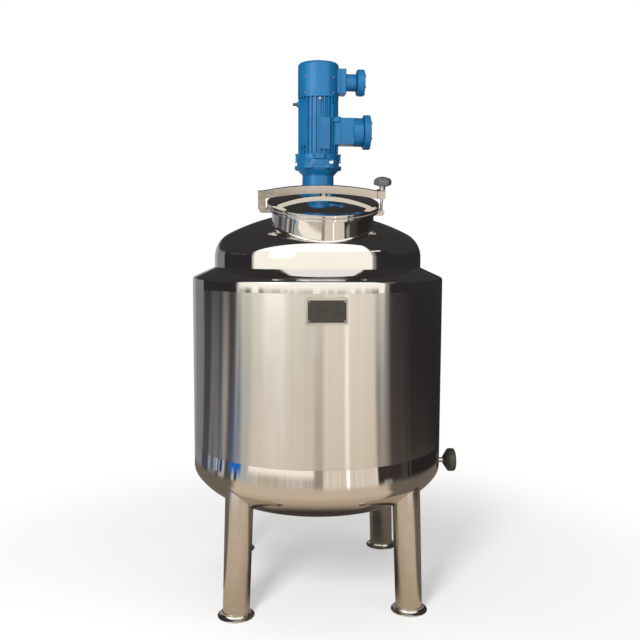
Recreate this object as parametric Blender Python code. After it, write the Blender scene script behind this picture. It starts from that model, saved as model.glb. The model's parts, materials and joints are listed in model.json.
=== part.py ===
# Jacketed mixing tank on four tubular legs, with a tilted clamp-lid manhole and a geared motor on top.
# Metres, +Z up. Origin on the floor, at the middle of the box round the whole tank.
# Sizes are given from the tank's own axis. The manhole and the nameplate face -Y.

import math

import bmesh
import bpy
from mathutils import Matrix, Vector

# Clearance left between two pieces that touch
GAP = 0.0003

# Faces round a turned piece, by its size
BIG_TURN = 36
MID_TURN = 24
SMALL_TURN = 16
NOZZLE_TURN = 12

# Cladding, the outer skin of the heating jacket
CLADDING_R = 0.5
CLADDING_SHEET = 0.003
CLADDING_SEAM_LOW_Z = 0.596
CLADDING_SEAM_HIGH_Z = 1.216

# Dished bottom of the cladding, a curve of three radii from the wall to the axis
BOTTOM_TANGENT_Z = 0.506
BOTTOM_CORNER_R = 0.056
BOTTOM_SHOULDER_R = 0.25
BOTTOM_CORNER_TURN = math.radians(36.4)
BOTTOM_SHOULDER_TURN = math.radians(72.0)

# Conical shoulder that closes the cladding against the vessel
SHOULDER_EDGE_Z = 1.262
SHOULDER_EDGE_R = 0.014
SHOULDER_SLOPE = math.radians(24.5)

# Inner vessel, a straight shell with two torispherical heads
VESSEL_R = 0.4127
VESSEL_SHEET = 0.004
HEAD_KNUCKLE_R = 0.104
HEAD_CROWN_R = 0.769
TOP_TANGENT_Z = 1.3365
BOTTOM_HEAD_TANGENT_Z = 0.5855
HEAD_FLANGE = 0.048

# Bottom outlet, a pipe from the vessel through the cladding, ending in a clamp ferrule
OUTLET_R = 0.0255
OUTLET_SHEET = 0.0025
OUTLET_END_Z = 0.275
FERRULE_R = 0.032
FERRULE_LENGTH = 0.007

# Legs: round tubes that splay outwards, each on a dished foot
LEG_COUNT = 4
LEG_FIRST_AZIMUTH = math.radians(45.0)
LEG_CIRCLE_R = 0.464
LEG_SPLAY = math.radians(2.6)
LEG_R = 0.0505
LEG_SHEET = 0.003
LEG_CUT_TOP_Z = 0.56
FOOT_R = 0.069
FOOT_BASE_R = 0.060
FOOT_LIP_Z = 0.007
FOOT_EDGE = 0.004
FOOT_TOP_Z = 0.017
FOOT_TOP_R = 0.055

# Manhole: its ring plane is tilted towards the front
MANHOLE_REACH = 0.2355
MANHOLE_Z = 1.5306
MANHOLE_TILT = math.radians(16.26)
NECK_R = 0.190
NECK_SHEET = 0.004
NECK_LENGTH = 0.16
RIM_R = 0.2083
RIM_THICKNESS = 0.010
GASKET_THICKNESS = 0.003
GASKET_INNER_R = 0.1935
GASKET_OUTER_R = 0.2045

# Lid: a pressed dome with a flat edge
LID_DOME_R = 0.186
LID_DOME_HEIGHT = 0.030
LID_SHEET = 0.003

# Clamp beam over the lid, an arched flat bar with a hinge leg and a fork
BEAM_THICKNESS = 0.010
BEAM_WIDTH = 0.040
BEAM_END_TOP = 0.052
BEAM_RISE = 0.024
BEAM_PIECES = 12
HINGE_X = -0.2265
HINGE_Z = -0.013
HINGE_PIN_R = 0.005
HINGE_LEG_WIDTH = 0.025
HINGE_LEG_THICKNESS = 0.012
EAR_THICKNESS = 0.007
EAR_SIDE_GAP = 0.0010
EAR_R = 0.0125
EAR_DEPTH = 0.052
CLEVIS_WEB = 0.006
PIN_HEAD_R = 0.008
PIN_HEAD = 0.004
BOLT_X = 0.219
FORK_INNER = 0.0175
FORK_OUTER = 0.010
FORK_LOW = 0.030
FORK_TOP = 0.060
FORK_SLOT = 0.014
STUD_HEX_R = 0.014
STUD_HEX_HEIGHT = 0.012
STUD_R = 0.009

# Swing bolt and its star knob
BOLT_R = 0.005
BOLT_PIVOT_Z = -0.022
BOLT_EYE_R = 0.0105
BOLT_EYE_THICKNESS = 0.012
BOLT_PIN_R = 0.004
LUG_R = 0.0115
LUG_DEPTH = 0.036
KNOB_LOOSE = 0.001
KNOB_HUB_R = 0.010
KNOB_HUB_HEIGHT = 0.020
KNOB_R = 0.0305
KNOB_LOBE = 0.0028
KNOB_LOBES = 6
KNOB_BODY_HEIGHT = 0.027
KNOB_BORE_DEPTH = 0.034

# Agitator: shaft and pitched blades inside the vessel, driven from above
DRIVE_X = 0.006
DRIVE_Y = 0.080
SHAFT_R = 0.015
SHAFT_PASSAGE_R = 0.019
SHAFT_LOW_Z = 0.5
HUB_R = 0.03
HUB_LOW_Z = 0.51
HUB_HEIGHT = 0.07
BLADE_COUNT = 4
BLADE_REACH = 0.19
BLADE_WIDTH = 0.075
BLADE_THICKNESS = 0.006
BLADE_PITCH = math.radians(45.0)

# Drive stack above the vessel, from the welded pad to the fan cover
PAD_R = 0.096
PAD_TOP_Z = 1.530
STOOL_BASE_R = 0.093
STOOL_BASE_THICKNESS = 0.012
STOOL_LOW_R = 0.076
STOOL_TOP_R = 0.0640
STOOL_WALL = 0.009
STOOL_TOP_Z = 1.6650
STOOL_WINDOW_WIDTH = 0.062
STOOL_WINDOW_LOW_Z = 1.556
STOOL_WINDOW_HEIGHT = 0.060
BELL_TOP_Z = 1.6917
BELL_TOP_R = 0.084
REDUCER_LOW_FLANGE_TOP_Z = 1.7059
REDUCER_LOW_FLANGE_R = 0.088
REDUCER_LUG_R = 0.0955
REDUCER_LUGS = 6
REDUCER_R = 0.086
REDUCER_TOP_Z = 1.7281
MOTOR_FLANGE_TOP_Z = 1.7504
MOTOR_FLANGE_R = 0.084
MOTOR_EAR_R = 0.0925
MOTOR_EARS = 4
SIGHT_GLASS_R = 0.009
SIGHT_GLASS_AZIMUTH = math.radians(32.0)
SIGHT_GLASS_LENGTH = 0.006
FRAME_TOP_Z = 1.9752
FIN_R = 0.082
FIN_ROOT_R = 0.0725
FIN_COUNT = 28
FIN_TIP_SHARE = 0.28
FIN_ROOT_SHARE = 0.42
FAN_COVER_R = 0.083
FAN_COVER_SHEET = 0.003
FAN_COVER_EDGE_R = 0.012
FAN_COVER_TOP_Z = 2.1155
GRILLE_SLOTS = 12
GRILLE_SLOT_INNER_R = 0.026
GRILLE_SLOT_OUTER_R = 0.062
GRILLE_SLOT_WIDTH = 0.008

# Main terminal box on the motor, pointing to +X
BOX_PAD_X = 0.088
BOX_NECK_X = 0.140
BOX_NECK_WIDTH = 0.094
BOX_NECK_HEIGHT = 0.103
BOX_Z = 1.8455
BOX_BODY_X = 0.184
BOX_BODY_R = 0.058
BOX_COVER_X = 0.212
BOX_COVER_R = 0.070
BOX_COVER_EDGE = 0.003

# Terminal box of the fan, on the fan cover
FAN_BOX_PAD_X = 0.087
FAN_BOX_BASE_X = 0.111
FAN_BOX_BASE_WIDTH = 0.070
FAN_BOX_BASE_HEIGHT = 0.098
FAN_BOX_Z = 2.044
FAN_BOX_BODY_X = 0.156
FAN_BOX_BODY_R = 0.034
FAN_BOX_COVER_X = 0.187
FAN_BOX_COVER_R = 0.053

# Lifting bolt on the motor frame, on the side away from the boxes
LIFT_BOLT_Z = 1.9530
LIFT_BOLT_R = 0.006
LIFT_BOLT_REACH = 0.104
LIFT_BOSS_R = 0.011
LIFT_BOSS_REACH = 0.0875

# Nameplate and its holder on the front of the cladding
PLATE_WIDTH = 0.147
PLATE_HEIGHT = 0.091
PLATE_Z = 1.1562
PLATE_AZIMUTH = math.radians(-0.95)
PLATE_STAND_OFF = 0.008
PLATE_SHEET = 0.002
PLATE_MARGIN = 0.004
PLATE_THICKNESS = 0.001

# Dial thermometer at the right-hand side of the cladding
GAUGE_Z = 0.489
GAUGE_SOCKET_R = 0.016
GAUGE_SOCKET_LENGTH = 0.010
GAUGE_STEM_R = 0.010
GAUGE_CASE_X = 0.530
GAUGE_CASE_R = 0.0475
GAUGE_CASE_DEPTH = 0.048
GAUGE_BACK_R = 0.016
GAUGE_BACK_DEPTH = 0.020
GAUGE_BEZEL = 0.005
GAUGE_RECESS = 0.006
GAUGE_DIAL_THICKNESS = 0.002

# Jacket nozzles at the back, for the heating medium
NOZZLE_R = 0.0168
NOZZLE_WALL = 0.0032
NOZZLE_LENGTH = 0.045
NOZZLE_LOW_Z = 0.640
NOZZLE_HIGH_Z = 1.150
NOZZLE_COLLAR_R = 0.024
NOZZLE_COLLAR_LENGTH = 0.008


AXIS_NAME = "tank_axis"


def clear_scene():
    for obj in list(bpy.data.objects):
        bpy.data.objects.remove(obj, do_unlink=True)


def finish(name, color, metallic, roughness):
    """A plain Principled material."""
    mat = bpy.data.materials.new(name)
    mat.use_nodes = True
    shader = mat.node_tree.nodes["Principled BSDF"]
    shader.inputs["Base Color"].default_value = (*color, 1.0)
    shader.inputs["Metallic"].default_value = metallic
    shader.inputs["Roughness"].default_value = roughness
    mat.diffuse_color = (*color, 1.0)
    return mat


def add_object(name, bm, material, parent=None, smooth=True):
    """Turn a bmesh into an object with its faces pointing out."""
    bmesh.ops.remove_doubles(bm, verts=bm.verts, dist=1e-6)
    bmesh.ops.recalc_face_normals(bm, faces=bm.faces)
    mesh = bpy.data.meshes.new(name)
    bm.to_mesh(mesh)
    bm.free()
    if smooth:
        mesh.shade_smooth()
        mesh.set_sharp_from_angle(angle=math.radians(30.0))
    obj = bpy.data.objects.new(name, mesh)
    bpy.context.scene.collection.objects.link(obj)
    if material is not None:
        mesh.materials.append(material)
    obj.parent = parent or bpy.data.objects[AXIS_NAME]
    return obj


def add_empty(name, location, rotation=(0.0, 0.0, 0.0), parent=None):
    obj = bpy.data.objects.new(name, None)
    bpy.context.scene.collection.objects.link(obj)
    obj.location = location
    obj.rotation_euler = rotation
    obj.parent = parent
    return obj


def tank_axis_place():
    """Where the tank's axis stands, so that the origin is in the middle of the box round the tank."""
    right = GAUGE_CASE_X + GAUGE_CASE_DEPTH
    left = CLADDING_R
    plate_face = CLADDING_R + PLATE_STAND_OFF + GAP + PLATE_THICKNESS
    plate_half = PLATE_WIDTH / 2.0 - PLATE_MARGIN
    front = plate_face * math.cos(PLATE_AZIMUTH) + plate_half * abs(math.sin(PLATE_AZIMUTH))
    back = CLADDING_R + NOZZLE_LENGTH
    return ((left - right) / 2.0, (front - back) / 2.0, 0.0)


def combine(obj, other, operation):
    """Boolean of one object with a hidden helper object."""
    other.hide_render = True
    other.display_type = "WIRE"
    mod = obj.modifiers.new(operation.lower(), "BOOLEAN")
    mod.operation = operation
    mod.solver = "EXACT"
    mod.object = other
    return obj


def turned(profile, steps, closed=True):
    """Spin an (r, z) outline round the Z axis."""
    bm = bmesh.new()
    verts = [bm.verts.new((r, 0.0, z)) for r, z in profile]
    edges = [bm.edges.new(pair) for pair in zip(verts, verts[1:])]
    if closed:
        edges.append(bm.edges.new((verts[-1], verts[0])))
    bmesh.ops.spin(
        bm,
        geom=verts + edges,
        axis=(0.0, 0.0, 1.0),
        cent=(0.0, 0.0, 0.0),
        dvec=(0.0, 0.0, 0.0),
        angle=math.tau,
        steps=steps,
        use_merge=True,
    )
    bmesh.ops.remove_doubles(bm, verts=bm.verts, dist=1e-6)
    return bm


def solid_turned(profile, steps):
    """Spin an outline whose first and last points lie on the axis."""
    return turned(profile, steps, closed=False)


def cylinder(radius, low, high, steps):
    return solid_turned([(0.0, low), (radius, low), (radius, high), (0.0, high)], steps)


def tube(outer, inner, low, high, steps):
    return turned([(outer, low), (outer, high), (inner, high), (inner, low)], steps)


def arc(centre_r, centre_z, radius, start, end, pieces):
    """Points along a circular arc; angles from +r, counter-clockwise, both ends included."""
    return [
        (
            centre_r + radius * math.cos(start + (end - start) * i / pieces),
            centre_z + radius * math.sin(start + (end - start) * i / pieces),
        )
        for i in range(pieces + 1)
    ]


def prism(outline, low, high, to_3d):
    """Extrude a flat outline; to_3d maps (u, v, height) to a point."""
    bm = bmesh.new()
    base = bm.faces.new([bm.verts.new(to_3d(u, v, low)) for u, v in outline])
    shift = Vector(to_3d(0.0, 0.0, high)) - Vector(to_3d(0.0, 0.0, low))
    grown = bmesh.ops.extrude_face_region(bm, geom=[base])
    top = [item for item in grown["geom"] if isinstance(item, bmesh.types.BMVert)]
    bmesh.ops.translate(bm, vec=shift, verts=top)
    bm.faces.ensure_lookup_table()
    return bm


def along_z(u, v, height):
    return (u, v, height)


def along_y(u, v, height):
    return (u, height, v)


def box(low, high):
    outline = [(low[0], low[1]), (high[0], low[1]), (high[0], high[1]), (low[0], high[1])]
    return prism(outline, low[2], high[2], along_z)


def turn_to_x(bm):
    """Lay a piece that was turned round Z along +X."""
    bmesh.ops.rotate(bm, verts=bm.verts, matrix=Matrix.Rotation(math.pi / 2.0, 3, "Y"))
    return bm


def at_azimuth(azimuth):
    """Matrix from a frame whose +X points at the azimuth; azimuth 0 is the front, -Y."""
    return Matrix.Rotation(azimuth - math.pi / 2.0, 4, "Z")


def torisphere(radius, knuckle, crown, tangent_z, inset=0.0, knuckle_pieces=3, crown_pieces=4):
    """Outline of a domed head from its tangent line up to the axis, set in by the inset."""
    rise = math.sqrt((crown - knuckle) ** 2 - (radius - knuckle) ** 2)
    lean = math.atan2(radius - knuckle, rise)
    bend = arc(radius - knuckle, tangent_z, knuckle - inset, 0.0, math.pi / 2.0 - lean, knuckle_pieces)
    cap = arc(0.0, tangent_z - rise, crown - inset, math.pi / 2.0 - lean, math.pi / 2.0, crown_pieces)
    cap[-1] = (0.0, cap[-1][1])
    return bend + cap[1:]


def mirrored_down(points, level):
    """Turn a top head's outline into a bottom head's, about a level."""
    return [(r, 2.0 * level - z) for r, z in points]


def jacket_bottom_outline(inset=0.0, corner_pieces=2, shoulder_pieces=2, crown_pieces=3):
    """Three-radius curve from the cladding wall down to the axis, set in by the inset."""
    corner = BOTTOM_CORNER_R
    shoulder = BOTTOM_SHOULDER_R
    a = BOTTOM_CORNER_TURN
    b = BOTTOM_SHOULDER_TURN
    r1 = CLADDING_R - corner
    z1 = BOTTOM_TANGENT_Z
    r2 = r1 + (corner - shoulder) * math.cos(a)
    z2 = z1 - (corner - shoulder) * math.sin(a)
    crown = shoulder + r2 / math.cos(b)
    z3 = z2 - (shoulder - crown) * math.sin(b)
    points = arc(r1, z1, corner - inset, 0.0, -a, corner_pieces)
    points += arc(r2, z2, shoulder - inset, -a, -b, shoulder_pieces)[1:]
    points += arc(0.0, z3, crown - inset, -b, -math.pi / 2.0, crown_pieces)[1:]
    points[-1] = (0.0, points[-1][1])
    return points


def shell(outer, inner):
    """Closed outline of a sheet between two curves that both end on the axis or on an edge."""
    return outer + inner[::-1]


def head_cutter(name, inset):
    """Solid under the top head's outer surface, for shaping what stands on it."""
    outline = torisphere(VESSEL_R, HEAD_KNUCKLE_R, HEAD_CROWN_R, TOP_TANGENT_Z, inset)
    outline = [(0.0, TOP_TANGENT_Z - 0.25), (VESSEL_R - inset, TOP_TANGENT_Z - 0.25)] + outline
    return add_object(name, solid_turned(outline, BIG_TURN), None)


def cladding_cutter(name, clearance):
    """Solid cylinder a little larger than the cladding wall."""
    bm = cylinder(CLADDING_R + clearance, CLADDING_SEAM_LOW_Z - 0.2, CLADDING_SEAM_HIGH_Z, BIG_TURN)
    return add_object(name, bm, None)


def build_cladding(steel, mirror):
    """Brushed wall, conical shoulder and dished bottom of the jacket."""
    inner = CLADDING_R - CLADDING_SHEET
    wall = tube(CLADDING_R, inner, CLADDING_SEAM_LOW_Z + GAP, CLADDING_SEAM_HIGH_Z, BIG_TURN)
    add_object("cladding_wall", wall, steel)

    turn = math.pi / 2.0 - SHOULDER_SLOPE
    edge_z = SHOULDER_EDGE_Z - SHOULDER_EDGE_R
    bend_r = CLADDING_R - SHOULDER_EDGE_R
    outer = arc(bend_r, edge_z, SHOULDER_EDGE_R, 0.0, turn, 2)
    thin = arc(bend_r, edge_z, SHOULDER_EDGE_R - CLADDING_SHEET, 0.0, turn, 2)
    top_r = VESSEL_R + GAP
    slope = math.tan(SHOULDER_SLOPE)
    outer.append((top_r, outer[-1][1] + (outer[-1][0] - top_r) * slope))
    thin.append((top_r, thin[-1][1] + (thin[-1][0] - top_r) * slope))
    low = CLADDING_SEAM_HIGH_Z + GAP
    profile = [(CLADDING_R, low)] + outer + thin[::-1] + [(inner, low)]
    add_object("cladding_shoulder", turned(profile, BIG_TURN), mirror)

    outer = [(CLADDING_R, CLADDING_SEAM_LOW_Z)] + jacket_bottom_outline()
    thin = [(inner, CLADDING_SEAM_LOW_Z)] + jacket_bottom_outline(CLADDING_SHEET)
    profile = shell(outer, thin)
    bottom = add_object("cladding_bottom", turned(profile, BIG_TURN), mirror)
    hole = cylinder(OUTLET_R + GAP, 0.2, 0.45, SMALL_TURN)
    combine(bottom, add_object("cut_cladding_outlet", hole, None), "DIFFERENCE")


def build_vessel(steel, mirror):
    """Straight shell with a domed head at each end."""
    inner = VESSEL_R - VESSEL_SHEET
    seam_high = TOP_TANGENT_Z - HEAD_FLANGE
    seam_low = BOTTOM_HEAD_TANGENT_Z
    add_object("vessel_wall", tube(VESSEL_R, inner, seam_low + GAP, seam_high - GAP, BIG_TURN), steel)

    outer = torisphere(VESSEL_R, HEAD_KNUCKLE_R, HEAD_CROWN_R, TOP_TANGENT_Z)
    thin = torisphere(VESSEL_R, HEAD_KNUCKLE_R, HEAD_CROWN_R, TOP_TANGENT_Z, VESSEL_SHEET)
    profile = shell([(VESSEL_R, seam_high)] + outer, [(inner, seam_high)] + thin)
    top = add_object("vessel_top_head", turned(profile, BIG_TURN), mirror)
    passage = cylinder(SHAFT_PASSAGE_R, 1.4, 1.6, SMALL_TURN)
    bmesh.ops.translate(passage, vec=(DRIVE_X, DRIVE_Y, 0.0), verts=passage.verts)
    combine(top, add_object("cut_head_shaft", passage, None), "DIFFERENCE")

    outer = torisphere(VESSEL_R, HEAD_KNUCKLE_R, HEAD_CROWN_R, seam_low)
    thin = torisphere(VESSEL_R, HEAD_KNUCKLE_R, HEAD_CROWN_R, seam_low, VESSEL_SHEET)
    profile = mirrored_down(shell(outer, thin), seam_low)
    bottom = add_object("vessel_bottom_head", turned(profile, BIG_TURN), steel)
    hole = cylinder(OUTLET_R - OUTLET_SHEET, 0.3, 0.5, SMALL_TURN)
    combine(bottom, add_object("cut_vessel_outlet", hole, None), "DIFFERENCE")
    return top


def build_outlet(steel):
    """Outlet pipe under the vessel with a clamp ferrule."""
    apex = mirrored_down(
        torisphere(VESSEL_R, HEAD_KNUCKLE_R, HEAD_CROWN_R, BOTTOM_HEAD_TANGENT_Z), BOTTOM_HEAD_TANGENT_Z
    )[-1][1]
    bore = OUTLET_R - OUTLET_SHEET
    profile = [
        (bore, OUTLET_END_Z),
        (FERRULE_R, OUTLET_END_Z),
        (FERRULE_R, OUTLET_END_Z + FERRULE_LENGTH * 0.4),
        (OUTLET_R, OUTLET_END_Z + FERRULE_LENGTH),
        (OUTLET_R, apex - GAP),
        (bore, apex - GAP),
    ]
    add_object("bottom_outlet", turned(profile, SMALL_TURN), steel)


def build_legs(steel):
    """Splayed tubular legs, cut to the dished bottom, and their feet."""
    outline = [(0.0, LEG_CUT_TOP_Z), (CLADDING_R + GAP, LEG_CUT_TOP_Z)] + jacket_bottom_outline(-GAP)
    cutter = add_object("cut_leg_tops", solid_turned(outline, BIG_TURN), None)
    foot_profile = [
        (0.0, 0.0),
        (FOOT_BASE_R, 0.0),
        (FOOT_R, FOOT_LIP_Z),
        (FOOT_R, FOOT_LIP_Z + FOOT_EDGE),
        (FOOT_TOP_R, FOOT_TOP_Z),
        (0.0, FOOT_TOP_Z),
    ]
    names = ["front_right", "rear_right", "rear_left", "front_left"]
    for index, name in enumerate(names):
        azimuth = LEG_FIRST_AZIMUTH + index * math.tau / LEG_COUNT
        frame = at_azimuth(azimuth)
        leg = tube(LEG_R, LEG_R - LEG_SHEET, FOOT_TOP_Z + GAP, LEG_CUT_TOP_Z - 0.02, MID_TURN)
        for vert in leg.verts:
            vert.co.x += LEG_CIRCLE_R - math.tan(LEG_SPLAY) * vert.co.z
        bmesh.ops.transform(leg, matrix=frame, verts=leg.verts)
        combine(add_object("leg_" + name, leg, steel), cutter, "DIFFERENCE")
        foot = solid_turned(foot_profile, MID_TURN)
        bmesh.ops.translate(foot, vec=(LEG_CIRCLE_R, 0.0, 0.0), verts=foot.verts)
        bmesh.ops.transform(foot, matrix=frame, verts=foot.verts)
        add_object("foot_" + name, foot, steel)


def build_manhole(steel, rubber, top_head):
    """Neck, rim and gasket, in the manhole's own tilted frame."""
    axis = bpy.data.objects[AXIS_NAME]
    frame = add_empty("manhole_frame", (0.0, -MANHOLE_REACH, MANHOLE_Z), (MANHOLE_TILT, 0.0, 0.0), axis)
    bore = NECK_R - NECK_SHEET
    hole = add_object("cut_manhole", cylinder(bore, -NECK_LENGTH, 0.1, BIG_TURN), None, frame)
    combine(top_head, hole, "DIFFERENCE")

    rim_top = -GASKET_THICKNESS / 2.0 - GAP
    rim_low = rim_top - RIM_THICKNESS
    profile = [
        (NECK_R, -NECK_LENGTH),
        (NECK_R, rim_low),
        (RIM_R - 0.002, rim_low),
        (RIM_R, rim_low + 0.002),
        (RIM_R, rim_top),
        (bore, rim_top),
        (bore, -NECK_LENGTH),
    ]
    neck = add_object("manhole_neck", turned(profile, BIG_TURN), steel, frame)
    combine(neck, head_cutter("cut_neck_foot", -GAP), "DIFFERENCE")

    half = GASKET_THICKNESS / 2.0
    gasket = tube(GASKET_OUTER_R, GASKET_INNER_R, -half, half, BIG_TURN)
    add_object("manhole_gasket", gasket, rubber, frame)
    return frame


def wall_bracket(neck_r, reach_x, centre_z, end_r, depth, side):
    """Outline in the X-Z plane of an ear that runs from the neck wall under the rim to a pin."""
    under_rim = -GASKET_THICKNESS / 2.0 - RIM_THICKNESS - 3.0 * GAP
    outside_rim = RIM_R + GAP
    low = centre_z - depth
    tip = [
        (abs(reach_x) + end_r * math.cos(a), centre_z + end_r * math.sin(a))
        for a in [math.radians(-60.0 + 30.0 * i) for i in range(6)]
    ]
    step_x = max(outside_rim, abs(reach_x) - end_r)
    step_z = max(centre_z + end_r * 0.6, under_rim)
    points = [(neck_r, low), (neck_r + 0.010, low)] + tip + [(step_x, step_z)]
    points += [(step_x, under_rim), (neck_r, under_rim)]
    return [(side * x, z) for x, z in points]


def clevis(name, frame, steel, outline, pin, pin_r, inner_half, thickness):
    """Welded bracket with two ears and a pin hole, open between the ears for a moving eye."""
    side = math.copysign(1.0, pin[0])
    bracket = prism(outline, -inner_half - thickness, inner_half + thickness, along_y)
    bracket = add_object(name, bracket, steel, frame)
    neck_cut = add_object("cut_" + name, cylinder(NECK_R + GAP, -0.2, 0.0, BIG_TURN), None, frame)
    combine(bracket, neck_cut, "DIFFERENCE")
    near = side * (NECK_R + CLEVIS_WEB)
    far = side * (NECK_R + 0.1)
    slot = box((min(near, far), -inner_half, -0.15), (max(near, far), inner_half, 0.05))
    combine(bracket, add_object("cut_slot_" + name, slot, None, frame), "DIFFERENCE")
    hole = cylinder(pin_r + GAP, -0.05, 0.05, SMALL_TURN)
    bmesh.ops.rotate(hole, verts=hole.verts, matrix=Matrix.Rotation(math.pi / 2.0, 3, "X"))
    bmesh.ops.translate(hole, vec=(pin[0], 0.0, pin[1]), verts=hole.verts)
    combine(bracket, add_object("cut_hole_" + name, hole, None, frame), "DIFFERENCE")


def pin_along_y(name, frame, steel, pin, pin_r, half_length, head_r, head):
    """Headed pin through a pair of ears."""
    reach = half_length + GAP
    profile = [
        (0.0, -reach - head),
        (head_r, -reach - head),
        (head_r, -reach),
        (pin_r, -reach),
        (pin_r, reach + head),
        (0.0, reach + head),
    ]
    bm = solid_turned(profile, SMALL_TURN)
    bmesh.ops.rotate(bm, verts=bm.verts, matrix=Matrix.Rotation(-math.pi / 2.0, 3, "X"))
    bmesh.ops.translate(bm, vec=(pin[0], 0.0, pin[1]), verts=bm.verts)
    add_object(name, bm, steel, frame)


def build_hinges(frame, steel):
    """Fixed ears and pins of the lid hinge and of the swing bolt."""
    half = HINGE_LEG_THICKNESS / 2.0 + EAR_SIDE_GAP
    outline = wall_bracket(NECK_R - 0.003, HINGE_X, HINGE_Z, EAR_R, EAR_DEPTH, -1.0)
    clevis("hinge_bracket", frame, steel, outline, (HINGE_X, HINGE_Z), HINGE_PIN_R, half, EAR_THICKNESS)
    pin_along_y(
        "hinge_pin", frame, steel, (HINGE_X, HINGE_Z), HINGE_PIN_R, half + EAR_THICKNESS, PIN_HEAD_R, PIN_HEAD
    )
    half = BOLT_EYE_THICKNESS / 2.0 + EAR_SIDE_GAP
    outline = wall_bracket(NECK_R - 0.003, BOLT_X, BOLT_PIVOT_Z, LUG_R, LUG_DEPTH, 1.0)
    clevis("bolt_bracket", frame, steel, outline, (BOLT_X, BOLT_PIVOT_Z), BOLT_PIN_R, half, EAR_THICKNESS)
    pin_along_y(
        "bolt_pin", frame, steel, (BOLT_X, BOLT_PIVOT_Z), BOLT_PIN_R, half + EAR_THICKNESS, PIN_HEAD_R, PIN_HEAD
    )


def dome_outline(radius, height, base_z, inset, pieces):
    """Arc of a spherical dome from its edge to the axis."""
    ball = (radius * radius + height * height) / (2.0 * height)
    half_angle = math.asin(radius / ball)
    centre_z = base_z + height - ball
    points = arc(0.0, centre_z, ball - inset, math.pi / 2.0 - half_angle, math.pi / 2.0, pieces)
    points[-1] = (0.0, points[-1][1])
    return points


def beam_arch():
    """Centre, outer radius and half angle of the arched bar, seen from the front."""
    left = HINGE_X - HINGE_LEG_WIDTH / 2.0
    right = BOLT_X + FORK_OUTER
    span = right - left
    radius = (span * span / 4.0 + BEAM_RISE * BEAM_RISE) / (2.0 * BEAM_RISE)
    centre_z = BEAM_END_TOP + BEAM_RISE - radius
    return (left + right) / 2.0, centre_z, radius, math.asin(span / 2.0 / radius)


def beam_outline():
    """Arched bar seen from the front, from the hinge leg to the end of the fork."""
    centre_x, centre_z, radius, half_angle = beam_arch()
    start = math.pi / 2.0 + half_angle
    end = math.pi / 2.0 - half_angle
    top = arc(centre_x, centre_z, radius, start, end, BEAM_PIECES)
    low = arc(centre_x, centre_z, radius - BEAM_THICKNESS, end, start, BEAM_PIECES)
    return top + low


def beam_underside(reach):
    """Lowest height of the bar's faceted underside within a reach of the manhole's axis."""
    centre_x, centre_z, radius, half_angle = beam_arch()
    flat_r = (radius - BEAM_THICKNESS) * math.cos(half_angle / BEAM_PIECES)
    return centre_z + math.sqrt(flat_r**2 - (abs(centre_x) + reach) ** 2)


def build_lid(frame, steel, mirror):
    """Lid, beam and stud, which all turn about the hinge pin."""
    hinge = add_empty("lid_hinge_axis", (HINGE_X, 0.0, HINGE_Z), parent=frame)

    def seat(obj):
        obj.location = (-HINGE_X, 0.0, -HINGE_Z)
        return obj

    low = GASKET_THICKNESS / 2.0 + GAP
    top = low + RIM_THICKNESS
    outer = dome_outline(LID_DOME_R, LID_DOME_HEIGHT, top, 0.0, 4)
    thin = dome_outline(LID_DOME_R, LID_DOME_HEIGHT, top, LID_SHEET, 4)
    profile = [(RIM_R, low), (RIM_R, top - 0.002), (RIM_R - 0.002, top)]
    profile += outer + thin[::-1] + [(LID_DOME_R - 0.006, low)]
    lid = turned(profile, BIG_TURN)
    seat(add_object("manhole_lid", lid, mirror, hinge))

    apex = top + LID_DOME_HEIGHT + GAP
    beam_low = beam_underside(STUD_R) - GAP
    hexagon = [(STUD_HEX_R * math.cos(a), STUD_HEX_R * math.sin(a)) for a in [i * math.pi / 3 for i in range(6)]]
    stud = add_object("lid_stud", prism(hexagon, apex, apex + STUD_HEX_HEIGHT, along_z), steel, hinge)
    rod = cylinder(STUD_R, apex + STUD_HEX_HEIGHT / 2.0, beam_low, SMALL_TURN)
    combine(seat(stud), seat(add_object("join_stud_rod", rod, None, hinge)), "UNION")

    half = BEAM_WIDTH / 2.0
    beam = seat(add_object("clamp_beam", prism(beam_outline(), -half, half, along_y), steel, hinge))
    leg_half = HINGE_LEG_WIDTH / 2.0
    leg = [
        (HINGE_X + leg_half * math.cos(a), HINGE_Z + leg_half * math.sin(a))
        for a in [math.radians(-180.0 + 22.5 * i) for i in range(9)]
    ]
    leg += [(HINGE_X + leg_half, BEAM_END_TOP - 0.004), (HINGE_X - leg_half, BEAM_END_TOP - 0.004)]
    plate = prism(leg, -HINGE_LEG_THICKNESS / 2.0, HINGE_LEG_THICKNESS / 2.0, along_y)
    combine(beam, seat(add_object("join_beam_leg", plate, None, hinge)), "UNION")
    fork = box((BOLT_X - FORK_INNER, -half, FORK_LOW), (BOLT_X + FORK_OUTER, half, FORK_TOP))
    combine(beam, seat(add_object("join_beam_fork", fork, None, hinge)), "UNION")
    slot = box((BOLT_X - FORK_SLOT / 2.0, -FORK_SLOT / 2.0, 0.0), (BOLT_X + 0.05, FORK_SLOT / 2.0, 0.1))
    combine(beam, seat(add_object("cut_fork_slot", slot, None, hinge)), "DIFFERENCE")
    eye = cylinder(HINGE_PIN_R + GAP, -0.05, 0.05, SMALL_TURN)
    bmesh.ops.rotate(eye, verts=eye.verts, matrix=Matrix.Rotation(math.pi / 2.0, 3, "X"))
    bmesh.ops.translate(eye, vec=(HINGE_X, 0.0, HINGE_Z), verts=eye.verts)
    combine(beam, seat(add_object("cut_leg_eye", eye, None, hinge)), "DIFFERENCE")


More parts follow.
